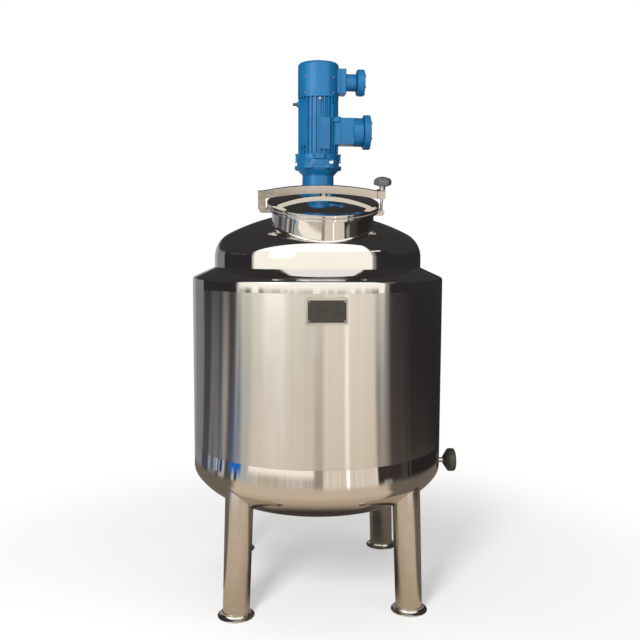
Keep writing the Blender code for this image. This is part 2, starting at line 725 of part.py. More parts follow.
def build_clamp(frame, steel, black):
    """Swing bolt on its pivot, and the star knob on the bolt's thread."""
    pivot = add_empty("swing_bolt_axis", (BOLT_X, 0.0, BOLT_PIVOT_Z), parent=frame)
    hub_low = FORK_TOP + KNOB_LOOSE - BOLT_PIVOT_Z
    eye = cylinder(BOLT_EYE_R, -BOLT_EYE_THICKNESS / 2.0, BOLT_EYE_THICKNESS / 2.0, SMALL_TURN)
    bmesh.ops.rotate(eye, verts=eye.verts, matrix=Matrix.Rotation(math.pi / 2.0, 3, "X"))
    bolt = add_object("swing_bolt", eye, steel, pivot)
    rod_top = hub_low + KNOB_BORE_DEPTH - 2.0 * GAP
    rod = cylinder(BOLT_R, BOLT_EYE_R * 0.5, rod_top, SMALL_TURN)
    combine(bolt, add_object("join_bolt_rod", rod, None, pivot), "UNION")
    hole = cylinder(BOLT_PIN_R + GAP, -0.05, 0.05, SMALL_TURN)
    bmesh.ops.rotate(hole, verts=hole.verts, matrix=Matrix.Rotation(math.pi / 2.0, 3, "X"))
    combine(bolt, add_object("cut_bolt_eye", hole, None, pivot), "DIFFERENCE")

    rings = [
        (hub_low, KNOB_HUB_R, 0.0),
        (hub_low + KNOB_HUB_HEIGHT * 0.8, KNOB_HUB_R, 0.0),
        (hub_low + KNOB_HUB_HEIGHT, KNOB_HUB_R * 1.3, 0.0),
        (hub_low + KNOB_HUB_HEIGHT - 0.002, KNOB_R - 0.003, KNOB_LOBE),
        (hub_low + KNOB_HUB_HEIGHT + 0.002, KNOB_R, KNOB_LOBE),
        (hub_low + KNOB_HUB_HEIGHT + KNOB_BODY_HEIGHT * 0.55, KNOB_R, KNOB_LOBE),
        (hub_low + KNOB_HUB_HEIGHT + KNOB_BODY_HEIGHT * 0.85, KNOB_R * 0.8, KNOB_LOBE * 0.6),
        (hub_low + KNOB_HUB_HEIGHT + KNOB_BODY_HEIGHT, KNOB_R * 0.4, 0.0),
    ]
    steps = KNOB_LOBES * 5
    bm = bmesh.new()
    loops = []
    for z, radius, lobe in rings:
        loop = []
        for i in range(steps):
            a = math.tau * i / steps
            r = radius + lobe * math.cos(KNOB_LOBES * a)
            loop.append(bm.verts.new((r * math.cos(a), r * math.sin(a), z)))
        loops.append(loop)
    for low, high in zip(loops, loops[1:]):
        for i in range(steps):
            j = (i + 1) % steps
            bm.faces.new((low[i], low[j], high[j], high[i]))
    bm.faces.new(loops[0][::-1])
    bm.faces.new(loops[-1])
    knob = add_object("star_knob", bm, black, pivot)
    bore = cylinder(BOLT_R + GAP, hub_low - 0.01, hub_low + KNOB_BORE_DEPTH, SMALL_TURN)
    combine(knob, add_object("cut_knob_bore", bore, None, pivot), "DIFFERENCE")


def eared_outline(base_r, ear_r, ears, steps_per_ear, ear_steps, turn=0.0):
    """Round flange outline with a bolt ear at equal angles."""
    points = []
    total = ears * steps_per_ear
    for i in range(total):
        within = (i + ear_steps) % steps_per_ear
        radius = ear_r if within <= 2 * ear_steps else base_r
        a = turn + math.tau * i / total
        points.append((radius * math.cos(a), radius * math.sin(a)))
    return points


def drive_piece(name, bm, material):
    bmesh.ops.translate(bm, vec=(DRIVE_X, DRIVE_Y, 0.0), verts=bm.verts)
    return add_object(name, bm, material)


def build_drive(steel, paint, glass):
    """Pad, stool, gear unit and motor, stacked on the agitator's axis."""
    pad = drive_piece("drive_pad", tube(PAD_R, SHAFT_PASSAGE_R, 1.45, PAD_TOP_Z, MID_TURN), steel)
    combine(pad, head_cutter("cut_pad_foot", -GAP), "DIFFERENCE")

    low = PAD_TOP_Z + GAP
    base_top = low + STOOL_BASE_THICKNESS
    top = STOOL_TOP_Z - GAP
    mid = (base_top + top) / 2.0
    mid_r = (STOOL_LOW_R + STOOL_TOP_R) / 2.0 - 0.004
    profile = [
        (STOOL_BASE_R, low),
        (STOOL_BASE_R, base_top),
        (STOOL_LOW_R, base_top + 0.003),
        (mid_r, mid),
        (STOOL_TOP_R, top),
        (STOOL_TOP_R - 2.0 * STOOL_WALL, top),
        (mid_r - STOOL_WALL, mid),
        (STOOL_LOW_R - STOOL_WALL, low),
    ]
    stool = drive_piece("motor_stool", turned(profile, MID_TURN), paint)
    half = STOOL_WINDOW_WIDTH / 2.0
    radius = half
    window_top = STOOL_WINDOW_LOW_Z + STOOL_WINDOW_HEIGHT - radius
    outline = [(-half, STOOL_WINDOW_LOW_Z), (half, STOOL_WINDOW_LOW_Z)]
    outline += arc(0.0, window_top, radius, 0.0, math.pi, 8)
    window = drive_piece("cut_stool_windows", prism(outline, -0.12, 0.12, along_y), None)
    combine(stool, window, "DIFFERENCE")

    low = STOOL_TOP_Z
    profile = [
        (0.0, low),
        (STOOL_TOP_R, low),
        (STOOL_TOP_R + 0.003, low + 0.006),
        (BELL_TOP_R, BELL_TOP_Z - 0.004),
        (BELL_TOP_R, BELL_TOP_Z + 0.004),
        (0.0, BELL_TOP_Z + 0.004),
    ]
    outline = eared_outline(REDUCER_LOW_FLANGE_R, REDUCER_LUG_R, REDUCER_LUGS, 12, 2)
    flange = prism(outline, BELL_TOP_Z, REDUCER_LOW_FLANGE_TOP_Z - GAP, along_z)
    bell = drive_piece("reducer_bell", flange, paint)
    combine(bell, drive_piece("join_bell_cone", solid_turned(profile, MID_TURN), None), "UNION")
    profile = [
        (0.0, REDUCER_LOW_FLANGE_TOP_Z),
        (REDUCER_R, REDUCER_LOW_FLANGE_TOP_Z),
        (REDUCER_R, REDUCER_TOP_Z - GAP),
        (0.0, REDUCER_TOP_Z - GAP),
    ]
    drive_piece("reducer_housing", solid_turned(profile, MID_TURN), paint)
    outline = eared_outline(MOTOR_FLANGE_R, MOTOR_EAR_R, MOTOR_EARS, 16, 2)
    drive_piece("motor_flange", prism(outline, REDUCER_TOP_Z, MOTOR_FLANGE_TOP_Z - GAP, along_z), paint)

    glass_z = (REDUCER_LOW_FLANGE_TOP_Z + REDUCER_TOP_Z) / 2.0
    inner = REDUCER_R + GAP
    sight = turn_to_x(cylinder(SIGHT_GLASS_R, inner, inner + SIGHT_GLASS_LENGTH, SMALL_TURN))
    bmesh.ops.transform(sight, matrix=at_azimuth(SIGHT_GLASS_AZIMUTH), verts=sight.verts)
    bmesh.ops.translate(sight, vec=(0.0, 0.0, glass_z), verts=sight.verts)
    drive_piece("oil_sight_glass", sight, glass)

    fins = []
    pitch = math.tau / FIN_COUNT
    for i in range(FIN_COUNT):
        centre = i * pitch
        for radius, share in (
            (FIN_ROOT_R, -FIN_ROOT_SHARE / 2.0),
            (FIN_R, -FIN_TIP_SHARE / 2.0),
            (FIN_R, FIN_TIP_SHARE / 2.0),
            (FIN_ROOT_R, FIN_ROOT_SHARE / 2.0),
        ):
            a = centre + share * pitch
            fins.append((radius * math.cos(a), radius * math.sin(a)))
    frame = drive_piece("motor_frame", prism(fins, MOTOR_FLANGE_TOP_Z, FRAME_TOP_Z - GAP, along_z), paint)
    half_y = BOX_NECK_WIDTH / 2.0 + 0.003
    half_z = BOX_NECK_HEIGHT / 2.0 + 0.004
    pad = box((0.03, -half_y, BOX_Z - half_z), (BOX_PAD_X - GAP, half_y, BOX_Z + half_z))
    combine(frame, drive_piece("join_box_pad", pad, None), "UNION")
    boss = turn_to_x(cylinder(LIFT_BOSS_R, 0.05, LIFT_BOSS_REACH, SMALL_TURN))
    bmesh.ops.rotate(boss, verts=boss.verts, matrix=Matrix.Rotation(math.pi, 3, "Z"))
    bmesh.ops.translate(boss, vec=(0.0, 0.0, LIFT_BOLT_Z), verts=boss.verts)
    combine(frame, drive_piece("join_lift_boss", boss, None), "UNION")
    lift = turn_to_x(cylinder(LIFT_BOLT_R, LIFT_BOSS_REACH + GAP, LIFT_BOLT_REACH, SMALL_TURN))
    bmesh.ops.rotate(lift, verts=lift.verts, matrix=Matrix.Rotation(math.pi, 3, "Z"))
    bmesh.ops.translate(lift, vec=(0.0, 0.0, LIFT_BOLT_Z), verts=lift.verts)
    drive_piece("motor_lift_bolt", lift, steel)


def build_fan_cover(paint):
    """Pressed fan cover with a slotted top."""
    edge = FAN_COVER_EDGE_R
    sheet = FAN_COVER_SHEET
    outer = arc(FAN_COVER_R - edge, FAN_COVER_TOP_Z - edge, edge, 0.0, math.pi / 2.0, 3)
    inner = arc(FAN_COVER_R - edge, FAN_COVER_TOP_Z - edge, edge - sheet, 0.0, math.pi / 2.0, 3)
    profile = [(FAN_COVER_R, FRAME_TOP_Z)] + outer + [(0.0, FAN_COVER_TOP_Z), (0.0, FAN_COVER_TOP_Z - sheet)]
    profile += inner[::-1] + [(FAN_COVER_R - sheet, FRAME_TOP_Z)]
    cover = drive_piece("fan_cover", turned(profile, MID_TURN), paint)
    slots = bmesh.new()
    for i in range(GRILLE_SLOTS):
        half = GRILLE_SLOT_WIDTH / 2.0
        low = (GRILLE_SLOT_INNER_R, -half, FAN_COVER_TOP_Z - 0.02)
        high = (GRILLE_SLOT_OUTER_R, half, FAN_COVER_TOP_Z + 0.02)
        slot = box(low, high)
        bmesh.ops.rotate(slot, verts=slot.verts, matrix=Matrix.Rotation(math.tau * i / GRILLE_SLOTS, 3, "Z"))
        scratch = bpy.data.meshes.new("scratch")
        slot.to_mesh(scratch)
        slot.free()
        slots.from_mesh(scratch)
        bpy.data.meshes.remove(scratch)
    combine(cover, drive_piece("cut_grille_slots", slots, None), "DIFFERENCE")
    half_y = FAN_BOX_BASE_WIDTH / 2.0
    half_z = FAN_BOX_BASE_HEIGHT / 2.0
    inner_x = math.sqrt((FAN_COVER_R - FAN_COVER_SHEET) ** 2 - half_y**2) + 0.001
    pad = box((inner_x, -half_y, FAN_BOX_Z - half_z), (FAN_BOX_PAD_X - GAP, half_y, FAN_BOX_Z + half_z))
    combine(cover, drive_piece("join_fan_pad", pad, None), "UNION")


def round_box_piece(name, material, centre_z, start_x, end_x, radius, edge):
    """Turned part of a terminal box, lying along +X."""
    profile = [
        (0.0, start_x),
        (radius - edge, start_x),
        (radius, start_x + edge),
        (radius, end_x - edge),
        (radius - edge, end_x),
        (0.0, end_x),
    ]
    bm = turn_to_x(solid_turned(profile, MID_TURN))
    bmesh.ops.translate(bm, vec=(0.0, 0.0, centre_z), verts=bm.verts)
    return drive_piece(name, bm, material)


def build_terminal_boxes(paint):
    """The motor's own terminal box and the fan's, both pointing to +X."""
    half_y = BOX_NECK_WIDTH / 2.0
    half_z = BOX_NECK_HEIGHT / 2.0
    edge = BOX_COVER_EDGE
    body = round_box_piece("terminal_box", paint, BOX_Z, BOX_NECK_X, BOX_BODY_X - GAP, BOX_BODY_R, edge)
    neck = box((BOX_PAD_X, -half_y, BOX_Z - half_z), (BOX_NECK_X + edge, half_y, BOX_Z + half_z))
    combine(body, drive_piece("join_box_neck", neck, None), "UNION")
    round_box_piece("terminal_box_cover", paint, BOX_Z, BOX_BODY_X, BOX_COVER_X, BOX_COVER_R, edge)

    half_y = FAN_BOX_BASE_WIDTH / 2.0
    half_z = FAN_BOX_BASE_HEIGHT / 2.0
    inner_x = FAN_BOX_BASE_X - edge
    body = round_box_piece("fan_box", paint, FAN_BOX_Z, inner_x, FAN_BOX_BODY_X - GAP, FAN_BOX_BODY_R, edge)
    base = box((FAN_BOX_PAD_X, -half_y, FAN_BOX_Z - half_z), (FAN_BOX_BASE_X, half_y, FAN_BOX_Z + half_z))
    combine(body, drive_piece("join_fan_box_base", base, None), "UNION")
    round_box_piece("fan_box_cover", paint, FAN_BOX_Z, FAN_BOX_BODY_X, FAN_BOX_COVER_X, FAN_BOX_COVER_R, edge)


def build_agitator(steel):
    """Shaft from the stool down into the vessel, with a pitched-blade turbine."""
    drive_piece("agitator_shaft", cylinder(SHAFT_R, SHAFT_LOW_Z, STOOL_TOP_Z - GAP, SMALL_TURN), steel)
    hub = drive_piece("agitator_impeller", cylinder(HUB_R, HUB_LOW_Z, HUB_LOW_Z + HUB_HEIGHT, MID_TURN), steel)
    for i in range(BLADE_COUNT):
        half_w = BLADE_WIDTH / 2.0
        half_t = BLADE_THICKNESS / 2.0
        blade = box((HUB_R * 0.8, -half_w, -half_t), (BLADE_REACH, half_w, half_t))
        bmesh.ops.rotate(blade, verts=blade.verts, matrix=Matrix.Rotation(BLADE_PITCH, 3, "X"))
        bmesh.ops.rotate(blade, verts=blade.verts, matrix=Matrix.Rotation(math.tau * i / BLADE_COUNT, 3, "Z"))
        bmesh.ops.translate(blade, vec=(0.0, 0.0, HUB_LOW_Z + HUB_HEIGHT / 2.0), verts=blade.verts)
        combine(hub, drive_piece("join_blade_%d" % (i + 1), blade, None), "UNION")
    bore = cylinder(SHAFT_R + GAP, HUB_LOW_Z - 0.05, HUB_LOW_Z + HUB_HEIGHT + 0.05, SMALL_TURN)
    combine(hub, drive_piece("cut_hub_bore", bore, None), "DIFFERENCE")


def build_nameplate(steel, dark):
    """Flat plate on a bent holder that stands off the curved wall."""
    face = CLADDING_R + PLATE_STAND_OFF
    half = PLATE_WIDTH / 2.0
    low = PLATE_Z - PLATE_HEIGHT / 2.0
    high = PLATE_Z + PLATE_HEIGHT / 2.0
    back = CLADDING_R - 0.02
    outline = [
        (back, -half),
        (face, -half),
        (face, half),
        (back, half),
        (back, half - PLATE_SHEET),
        (face - PLATE_SHEET, half - PLATE_SHEET),
        (face - PLATE_SHEET, -half + PLATE_SHEET),
        (back, -half + PLATE_SHEET),
    ]
    bm = prism(outline, low, high, along_z)
    bmesh.ops.transform(bm, matrix=at_azimuth(PLATE_AZIMUTH), verts=bm.verts)
    holder = add_object("nameplate_holder", bm, steel)
    combine(holder, cladding_cutter("cut_holder_back", GAP), "DIFFERENCE")
    half -= PLATE_MARGIN
    bm = box(
        (face + GAP, -half, low + PLATE_MARGIN),
        (face + GAP + PLATE_THICKNESS, half, high - PLATE_MARGIN),
    )
    bmesh.ops.transform(bm, matrix=at_azimuth(PLATE_AZIMUTH), verts=bm.verts)
    add_object("nameplate", bm, dark)


def build_thermometer(steel, dial_white):
    """Dial thermometer on a welded socket, facing +X."""
    case_x = GAUGE_CASE_X
    front = case_x + GAUGE_CASE_DEPTH
    socket = turn_to_x(cylinder(GAUGE_SOCKET_R, CLADDING_R - 0.02, CLADDING_R + GAUGE_SOCKET_LENGTH, SMALL_TURN))
    bmesh.ops.translate(socket, vec=(0.0, 0.0, GAUGE_Z), verts=socket.verts)
    socket = add_object("thermometer_socket", socket, steel)
    outline = [(0.0, LEG_CUT_TOP_Z + 0.1), (CLADDING_R + GAP, LEG_CUT_TOP_Z + 0.1)] + jacket_bottom_outline(-GAP)
    cutter = add_object("cut_socket_back", solid_turned(outline, BIG_TURN), None)
    combine(socket, cutter, "DIFFERENCE")
    stem = turn_to_x(cylinder(GAUGE_STEM_R, CLADDING_R + GAUGE_SOCKET_LENGTH + GAP, case_x - GAP, SMALL_TURN))
    bmesh.ops.translate(stem, vec=(0.0, 0.0, GAUGE_Z), verts=stem.verts)
    add_object("thermometer_stem", stem, steel)
    profile = [
        (0.0, case_x),
        (GAUGE_BACK_R, case_x),
        (GAUGE_CASE_R - 0.002, case_x + GAUGE_BACK_DEPTH),
        (GAUGE_CASE_R, case_x + GAUGE_BACK_DEPTH + 0.004),
        (GAUGE_CASE_R, front - 0.004),
        (GAUGE_CASE_R - 0.003, front),
        (GAUGE_CASE_R - GAUGE_BEZEL, front),
        (GAUGE_CASE_R - GAUGE_BEZEL, front - GAUGE_RECESS),
        (0.0, front - GAUGE_RECESS),
    ]
    case = turn_to_x(solid_turned(profile, MID_TURN))
    bmesh.ops.translate(case, vec=(0.0, 0.0, GAUGE_Z), verts=case.verts)
    add_object("thermometer_case", case, steel)
    dial_low = front - GAUGE_RECESS + GAP
    radius = GAUGE_CASE_R - GAUGE_BEZEL - GAP
    dial = turn_to_x(cylinder(radius, dial_low, dial_low + GAUGE_DIAL_THICKNESS, MID_TURN))
    bmesh.ops.translate(dial, vec=(0.0, 0.0, GAUGE_Z), verts=dial.verts)
    add_object("thermometer_dial", dial, dial_white)


def build_nozzles(steel):
    """Two short pipe nozzles into the jacket at the back."""
    for name, level in (("jacket_inlet", NOZZLE_LOW_Z), ("jacket_outlet", NOZZLE_HIGH_Z)):
        end = CLADDING_R + NOZZLE_LENGTH
        collar = CLADDING_R + NOZZLE_COLLAR_LENGTH
        bore = NOZZLE_R - NOZZLE_WALL
        profile = [
            (bore, CLADDING_R - 0.01),
            (NOZZLE_COLLAR_R, CLADDING_R - 0.01),
            (NOZZLE_COLLAR_R, collar),
            (NOZZLE_R, collar),
            (NOZZLE_R, end),
            (bore, end),
        ]
        bm = turn_to_x(turned(profile, NOZZLE_TURN))
        bmesh.ops.transform(bm, matrix=at_azimuth(math.pi), verts=bm.verts)
        bmesh.ops.translate(bm, vec=(0.0, 0.0, level), verts=bm.verts)
        nozzle = add_object(name, bm, steel)
        combine(nozzle, cladding_cutter("cut_" + name, GAP), "DIFFERENCE")


def main():
    clear_scene()
    add_empty(AXIS_NAME, tank_axis_place())
    steel = finish("brushed_steel", (0.62, 0.58, 0.53), 1.0, 0.28)
    mirror = finish("mirror_steel", (0.66, 0.63, 0.59), 1.0, 0.06)
    rubber = finish("white_rubber", (0.75, 0.74, 0.70), 0.0, 0.6)
    paint = finish("blue_paint", (0.03, 0.16, 0.42), 0.0, 0.35)
    black = finish("black_knob", (0.05, 0.05, 0.05), 0.0, 0.4)
    dark = finish("dark_plate", (0.10, 0.09, 0.08), 0.6, 0.35)
    white = finish("dial_white", (0.85, 0.85, 0.83), 0.0, 0.4)
    glass = finish("sight_glass", (0.80, 0.82, 0.80), 0.0, 0.1)

    build_cladding(steel, mirror)
    top_head = build_vessel(steel, mirror)
    build_outlet(steel)
    build_legs(steel)
    frame = build_manhole(steel, rubber, top_head)
    build_hinges(frame, steel)
    build_lid(frame, steel, mirror)
    build_clamp(frame, steel, black)
    build_drive(steel, paint, glass)
    build_fan_cover(paint)
    build_terminal_boxes(paint)
    build_agitator(steel)
    build_nameplate(steel, dark)
    build_thermometer(steel, white)
    build_nozzles(steel)
    bpy.context.view_layer.update()


main()
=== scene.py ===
# Looks of the jacketed mixing tank: smooth shells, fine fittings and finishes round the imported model.
# Metres, +Z up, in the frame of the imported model. The manhole and the nameplate face -Y.

import json
import math

import bmesh
import bpy
from mathutils import Matrix, Vector


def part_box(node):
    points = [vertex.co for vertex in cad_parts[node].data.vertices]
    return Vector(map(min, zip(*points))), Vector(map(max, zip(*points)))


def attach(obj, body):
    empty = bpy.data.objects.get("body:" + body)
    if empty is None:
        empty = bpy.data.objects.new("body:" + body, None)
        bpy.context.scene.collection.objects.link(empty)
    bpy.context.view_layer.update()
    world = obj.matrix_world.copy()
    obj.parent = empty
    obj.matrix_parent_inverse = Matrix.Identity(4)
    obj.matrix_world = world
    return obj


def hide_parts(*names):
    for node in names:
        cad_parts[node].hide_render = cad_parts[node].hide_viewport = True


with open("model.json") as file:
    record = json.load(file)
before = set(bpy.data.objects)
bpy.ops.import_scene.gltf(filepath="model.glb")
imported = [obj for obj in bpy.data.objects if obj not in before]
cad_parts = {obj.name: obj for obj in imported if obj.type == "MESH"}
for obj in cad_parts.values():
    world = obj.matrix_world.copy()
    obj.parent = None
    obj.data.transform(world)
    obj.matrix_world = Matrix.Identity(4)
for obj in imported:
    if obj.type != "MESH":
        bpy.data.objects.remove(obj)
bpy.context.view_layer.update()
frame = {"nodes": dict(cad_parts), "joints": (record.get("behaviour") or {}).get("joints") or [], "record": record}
NODES = frame["nodes"]
JOINTS = {joint["name"]: joint for joint in frame["joints"]}
SLOTS = {part["node"]: part["material_slot"] for part in frame["record"]["subparts"]}
QUARTER = math.pi / 2.0


def middle(node):
    low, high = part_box(node)
    return (low + high) / 2.0


def at(x, y, z):
    return Matrix.Translation((x, y, z))


# Places and main radii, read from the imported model
WALL_LOW, WALL_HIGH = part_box("cladding_wall")
AXIS = Vector(((WALL_LOW.x + WALL_HIGH.x) / 2.0, (WALL_LOW.y + WALL_HIGH.y) / 2.0, 0.0))
JACKET_R = (WALL_HIGH.x - WALL_LOW.x) / 2.0
SEAM_LOW_Z = WALL_LOW.z
SEAM_HIGH_Z = WALL_HIGH.z
VESSEL_LOW, VESSEL_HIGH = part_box("vessel_wall")
VESSEL_R = (VESSEL_HIGH.x - VESSEL_LOW.x) / 2.0
HEAD_LOW_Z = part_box("vessel_top_head")[0].z
SHOULDER_TOP_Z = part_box("cladding_shoulder")[1].z
MANHOLE_PLACE = middle("manhole_gasket")
HINGE_AXIS = Vector(JOINTS["lid_hinge"]["axis"])
MANHOLE_TILT = math.atan2(-HINGE_AXIS.z, -HINGE_AXIS.y)
DRIVE_AXIS = middle("agitator_shaft")
TANK = Matrix.Translation(AXIS)
MANHOLE = Matrix.Translation(MANHOLE_PLACE) @ Matrix.Rotation(MANHOLE_TILT, 4, "X")
DRIVE = at(DRIVE_AXIS.x, DRIVE_AXIS.y, 0.0)

# Turns that point +Z to the front and to +X
Z_TO_FRONT = Matrix.Rotation(QUARTER, 4, "X")
Z_TO_X = Matrix.Rotation(QUARTER, 4, "Y")

# Steps round a turned piece, by its size
HUGE_STEPS = 192
BIG_STEPS = 128
MID_STEPS = 64
SMALL_STEPS = 32
TINY_STEPS = 12
HEXAGON = 6

# Sheets and clearances
JACKET_SHEET = 0.003
VESSEL_SHEET = 0.004
SKIN_GAP = 0.0003

# Points nearer than this are one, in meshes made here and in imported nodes
SAME_POINT = 1e-6
SAME_PACKED_POINT = 1e-5

# Shoulder and dished bottom of the jacket
SHOULDER_EDGE_R = 0.014
SHOULDER_SLOPE = math.radians(24.5)
BOTTOM_TANGENT_Z = 0.506
BOTTOM_CORNER_R = 0.056
BOTTOM_SHOULDER_R = 0.25
BOTTOM_CORNER_TURN = math.radians(36.4)
BOTTOM_SHOULDER_TURN = math.radians(72.0)

# Domed head of the vessel
HEAD_KNUCKLE_R = 0.104
HEAD_CROWN_R = 0.769
HEAD_FLANGE = 0.048
HEAD_TANGENT_Z = HEAD_LOW_Z + HEAD_FLANGE

# Manhole
NECK_R = 0.190
NECK_SHEET = 0.004
NECK_DEPTH = 0.16
NECK_TOP_DROP = 0.015
NECK_CUT_TOP = 0.1
BORE_BREAK = 0.001
RIM_R = 0.2083
RIM_THICKNESS = 0.010
RIM_EDGE = 0.0015
RIM_FILLET = 0.003
GASKET_THICKNESS = 0.003
GASKET_INNER_R = 0.1935
GASKET_OUTER_R = 0.2045
NECK_FILLET = 0.010
FILLET_STEPS = 8
FILLET_SINK = 0.001
LID_DOME_R = 0.186
LID_DOME_HEIGHT = 0.030
LID_SHEET = 0.003
LID_SEAT_INSET = 0.006

# Holes for the outlet and the shaft
OUTLET_HOLE_R = 0.0258
SHAFT_PASSAGE_R = 0.019
SHAFT_PASSAGE_Z = (1.4, 1.6)

# Legs and feet
LEG_SPLAY = math.radians(2.6)
LEG_LOW_R = 0.0505
LEG_TOP_R = 0.0535
LEG_TOP_Z = 0.540
LEG_SHEET = 0.003
LEG_LOW_Z = 0.0203
LEG_TOP_BETWEEN = (0.25, 0.55)
LEG_AZIMUTHS = {
    "front_right": math.radians(45.0),
    "rear_right": math.radians(135.0),
    "rear_left": math.radians(225.0),
    "front_left": math.radians(315.0),
}
FOOT_R = 0.0695
FOOT_EDGE_Z = 0.0050
FOOT_NECK_R = 0.0525
FOOT_TOP_Z = 0.020

# Clamp over the lid, in the frame of the manhole
HINGE = MANHOLE.inverted() @ middle("hinge_pin")
SWING = MANHOLE.inverted() @ middle("bolt_pin")
BEAM_STEPS = 40
BEAM_END_TOP = 0.052
BEAM_RISE = 0.024
BEAM_HEIGHT = 0.029
BEAM_HALF_DEPTH = 0.010
BEAM_IN_FORK = 0.002
HINGE_LEG_HALF = 0.006
HINGE_LEG_OUTER = -0.0155
HINGE_LEG_INNER = 0.0125
HINGE_LEG_R = 0.0120
LEG_IN_BEAM = 0.001
FORK_LOW_Z = 0.030
FORK_TOP_Z = 0.060
FORK_HALF = 0.020
FORK_SLOT_HALF = 0.007
FORK_REACH = 0.0175
FORK_TIP = 0.010

# Radii on edges of pieces made here, and the angle from which an edge gets one
BEAM_EDGE = 0.0015
HINGE_LEG_EDGE = 0.0012
FORK_EDGE = 0.0010
EAR_EDGE = 0.0008
BOLT_EDGE = 0.0005
PAD_EDGE = 0.0014
ROUNDED_ABOVE = math.radians(40.0)

# Ears of the hinge and lugs of the swing bolt, under the rim of the neck
EAR_R = 0.0125
EAR_INNER_Y = 0.007
EAR_OUTER_Y = 0.014
EAR_TOP_Z = -0.0128
EAR_PAST_RIM = 0.004
NECK_SIDE_R = NECK_R - 0.0015
WEB_LENGTH = 0.006
LUG_R = 0.0115
LUG_INNER_Y = 0.0068
LUG_OUTER_Y = 0.0125

# Bush under the knob: radius, and height over the fork
KNOB_SLEEVE = (
    (0.0052, 0.0012),
    (0.0108, 0.0012),
    (0.0112, 0.0142),
    (0.0155, 0.0212),
    (0.0155, 0.0227),
    (0.0052, 0.0227),
)

# Bolts and screws of the drive; a screw is its radius and height
STOOL_BASE_THICKNESS = 0.012
STOOL_BOLT_R = 0.0845
STOOL_BOLT = (0.0075, 0.006)
LUG_BOLT_R = 0.0885
LUG_THICKNESS = 0.0145
LUG_BOLT = (0.0068, 0.005)
LUG_NUT = (0.0064, 0.008)
LUG_BOLT_END = (0.0040, 0.010)
EAR_BOLT = (0.0062, 0.005)
SHIELD_BOLT_R = 0.079
SHIELD_BOLT_DROP = 0.010
SHIELD_BOLT = (0.0065, 0.006)
COVER_SCREW_R = 0.0828
COVER_SCREW_Z = (1.992, 2.052)
COVER_SCREW = (0.0050, 0.0035)
BOX_SCREW_CIRCLES = {"terminal_box_cover": 0.061, "fan_box_cover": 0.044}
BOX_SCREW = (0.0048, 0.0040)
BOX_SCREW_SINK = 0.0002

# Heads of bolts and screws, as shares of their radius and height
FLAT_HEAD = ((1.0, 0.0), (1.0, 0.88), (0.86, 1.0))
ROUND_HEAD = ((1.0, 0.0), (1.0, 0.3), (0.8, 0.8), (0.3, 1.0))

# Cast pads: azimuth in degrees, half width, lower and upper end under the frame's top, face radius
CAST_PADS = (
    (16.0, 0.021, 0.2078, 0.082, 0.0832),
    (50.0, 0.018, 0.084, 0.028, 0.0832),
    (-56.0, 0.020, 0.1948, 0.006, 0.0827),
)
PAD_ROOT_R = 0.0735

# Lug on the neck of the terminal box
BOX_LUG_X = 0.066
BOX_LUG_Y = -0.0505
BOX_LUG_DROP = 0.016
BOX_LUG_HALF = 0.011
BOX_LUG_HALF_HEIGHT = 0.0085
BOX_LUG_R = 0.0075

# Nameplate
PLATE_AZIMUTH = math.radians(-0.95)
PLATE_FACE = 0.0093
PLATE_BORDER = 0.0028
PLATE_BORDER_THICKNESS = 0.0010
RIVET_INSET = 0.008
RIVET = (0.0028, 0.0016)

# Thermometer's dial, angles clockwise from the top as seen from +X, lengths on a ray as shares of its radius
DIAL_START = math.radians(-135.0)
DIAL_STEP = math.radians(9.0)
DIAL_STEPS = 30
STEPS_A_NUMBER = 5
NUMBER_STEP = 20
MARK_OUTER = 0.92
MARK_INNER = 0.84
LONG_MARK_INNER = 0.76
MARK_HALF = 0.0003
LONG_MARK_HALF = 0.0006
NUMBER_RING = 0.56
NUMBER_HEIGHT = 0.22
NUMBER_THICKNESS = 0.0002
NEEDLE_ANGLE = math.radians(-108.0)
NEEDLE_TAIL = -0.2
NEEDLE_TIP = 0.74
NEEDLE_HALF = 0.0009
PRINT_THICKNESS = 0.0004
PRINT_GAP = 0.0002

# Camera, fitted to the photograph's outline of the tank
CAMERA_DISTANCE = 3.1718
CAMERA_HEIGHT = 1.3737
CAMERA_AZIMUTH = math.radians(-4.6477)
CAMERA_YAW = math.radians(-0.1852)
CAMERA_TILT = math.radians(5.285)
CAMERA_ROLL = math.radians(0.2667)
CAMERA_LENS = 43.94
CAMERA_SENSOR = 36.0


# Meshes


def arc(centre_r, centre_z, radius, start, end, pieces):
    """Points along a circular arc; angles from +r, counter-clockwise, both ends included."""
    return [
        (
            centre_r + radius * math.cos(start + (end - start) * i / pieces),
            centre_z + radius * math.sin(start + (end - start) * i / pieces),
        )
        for i in range(pieces + 1)
    ]


def spoke(radius, angle, z):
    return Vector((radius * math.cos(angle), radius * math.sin(angle), z))


def oblong(x0, x1, y0, y1):
    return [(x0, y0), (x1, y0), (x1, y1), (x0, y1)]


def bridge(bm, rings):
    """Faces between neighbouring rings of points."""
    for ring, following in zip(rings, rings[1:]):
        for k in range(len(ring)):
            n = (k + 1) % len(ring)
            bm.faces.new((ring[k], following[k], following[n], ring[n]))


def stack(bm, outlines):
    """Closed solid through outlines of as many points."""
    rings = [[bm.verts.new(point) for point in outline] for outline in outlines]
    bm.faces.new(rings[0])
    bm.faces.new(rings[-1][::-1])
    bridge(bm, rings)


def revolve(outline_at, steps, place=Matrix()):
    """Closed ring of outlines round the Z axis of a place; the outline may change with the angle."""
    bm = bmesh.new()
    rings = []
    for i in range(steps):
        a = math.tau * i / steps
        rings.append([bm.verts.new(place @ spoke(r, a, z)) for r, z in outline_at(a)])
    bridge(bm, rings + rings[:1])
    bmesh.ops.remove_doubles(bm, verts=bm.verts, dist=SAME_POINT)
    return bm


def turned(outline, steps, place=Matrix()):
    return revolve(lambda a: outline, steps, place)


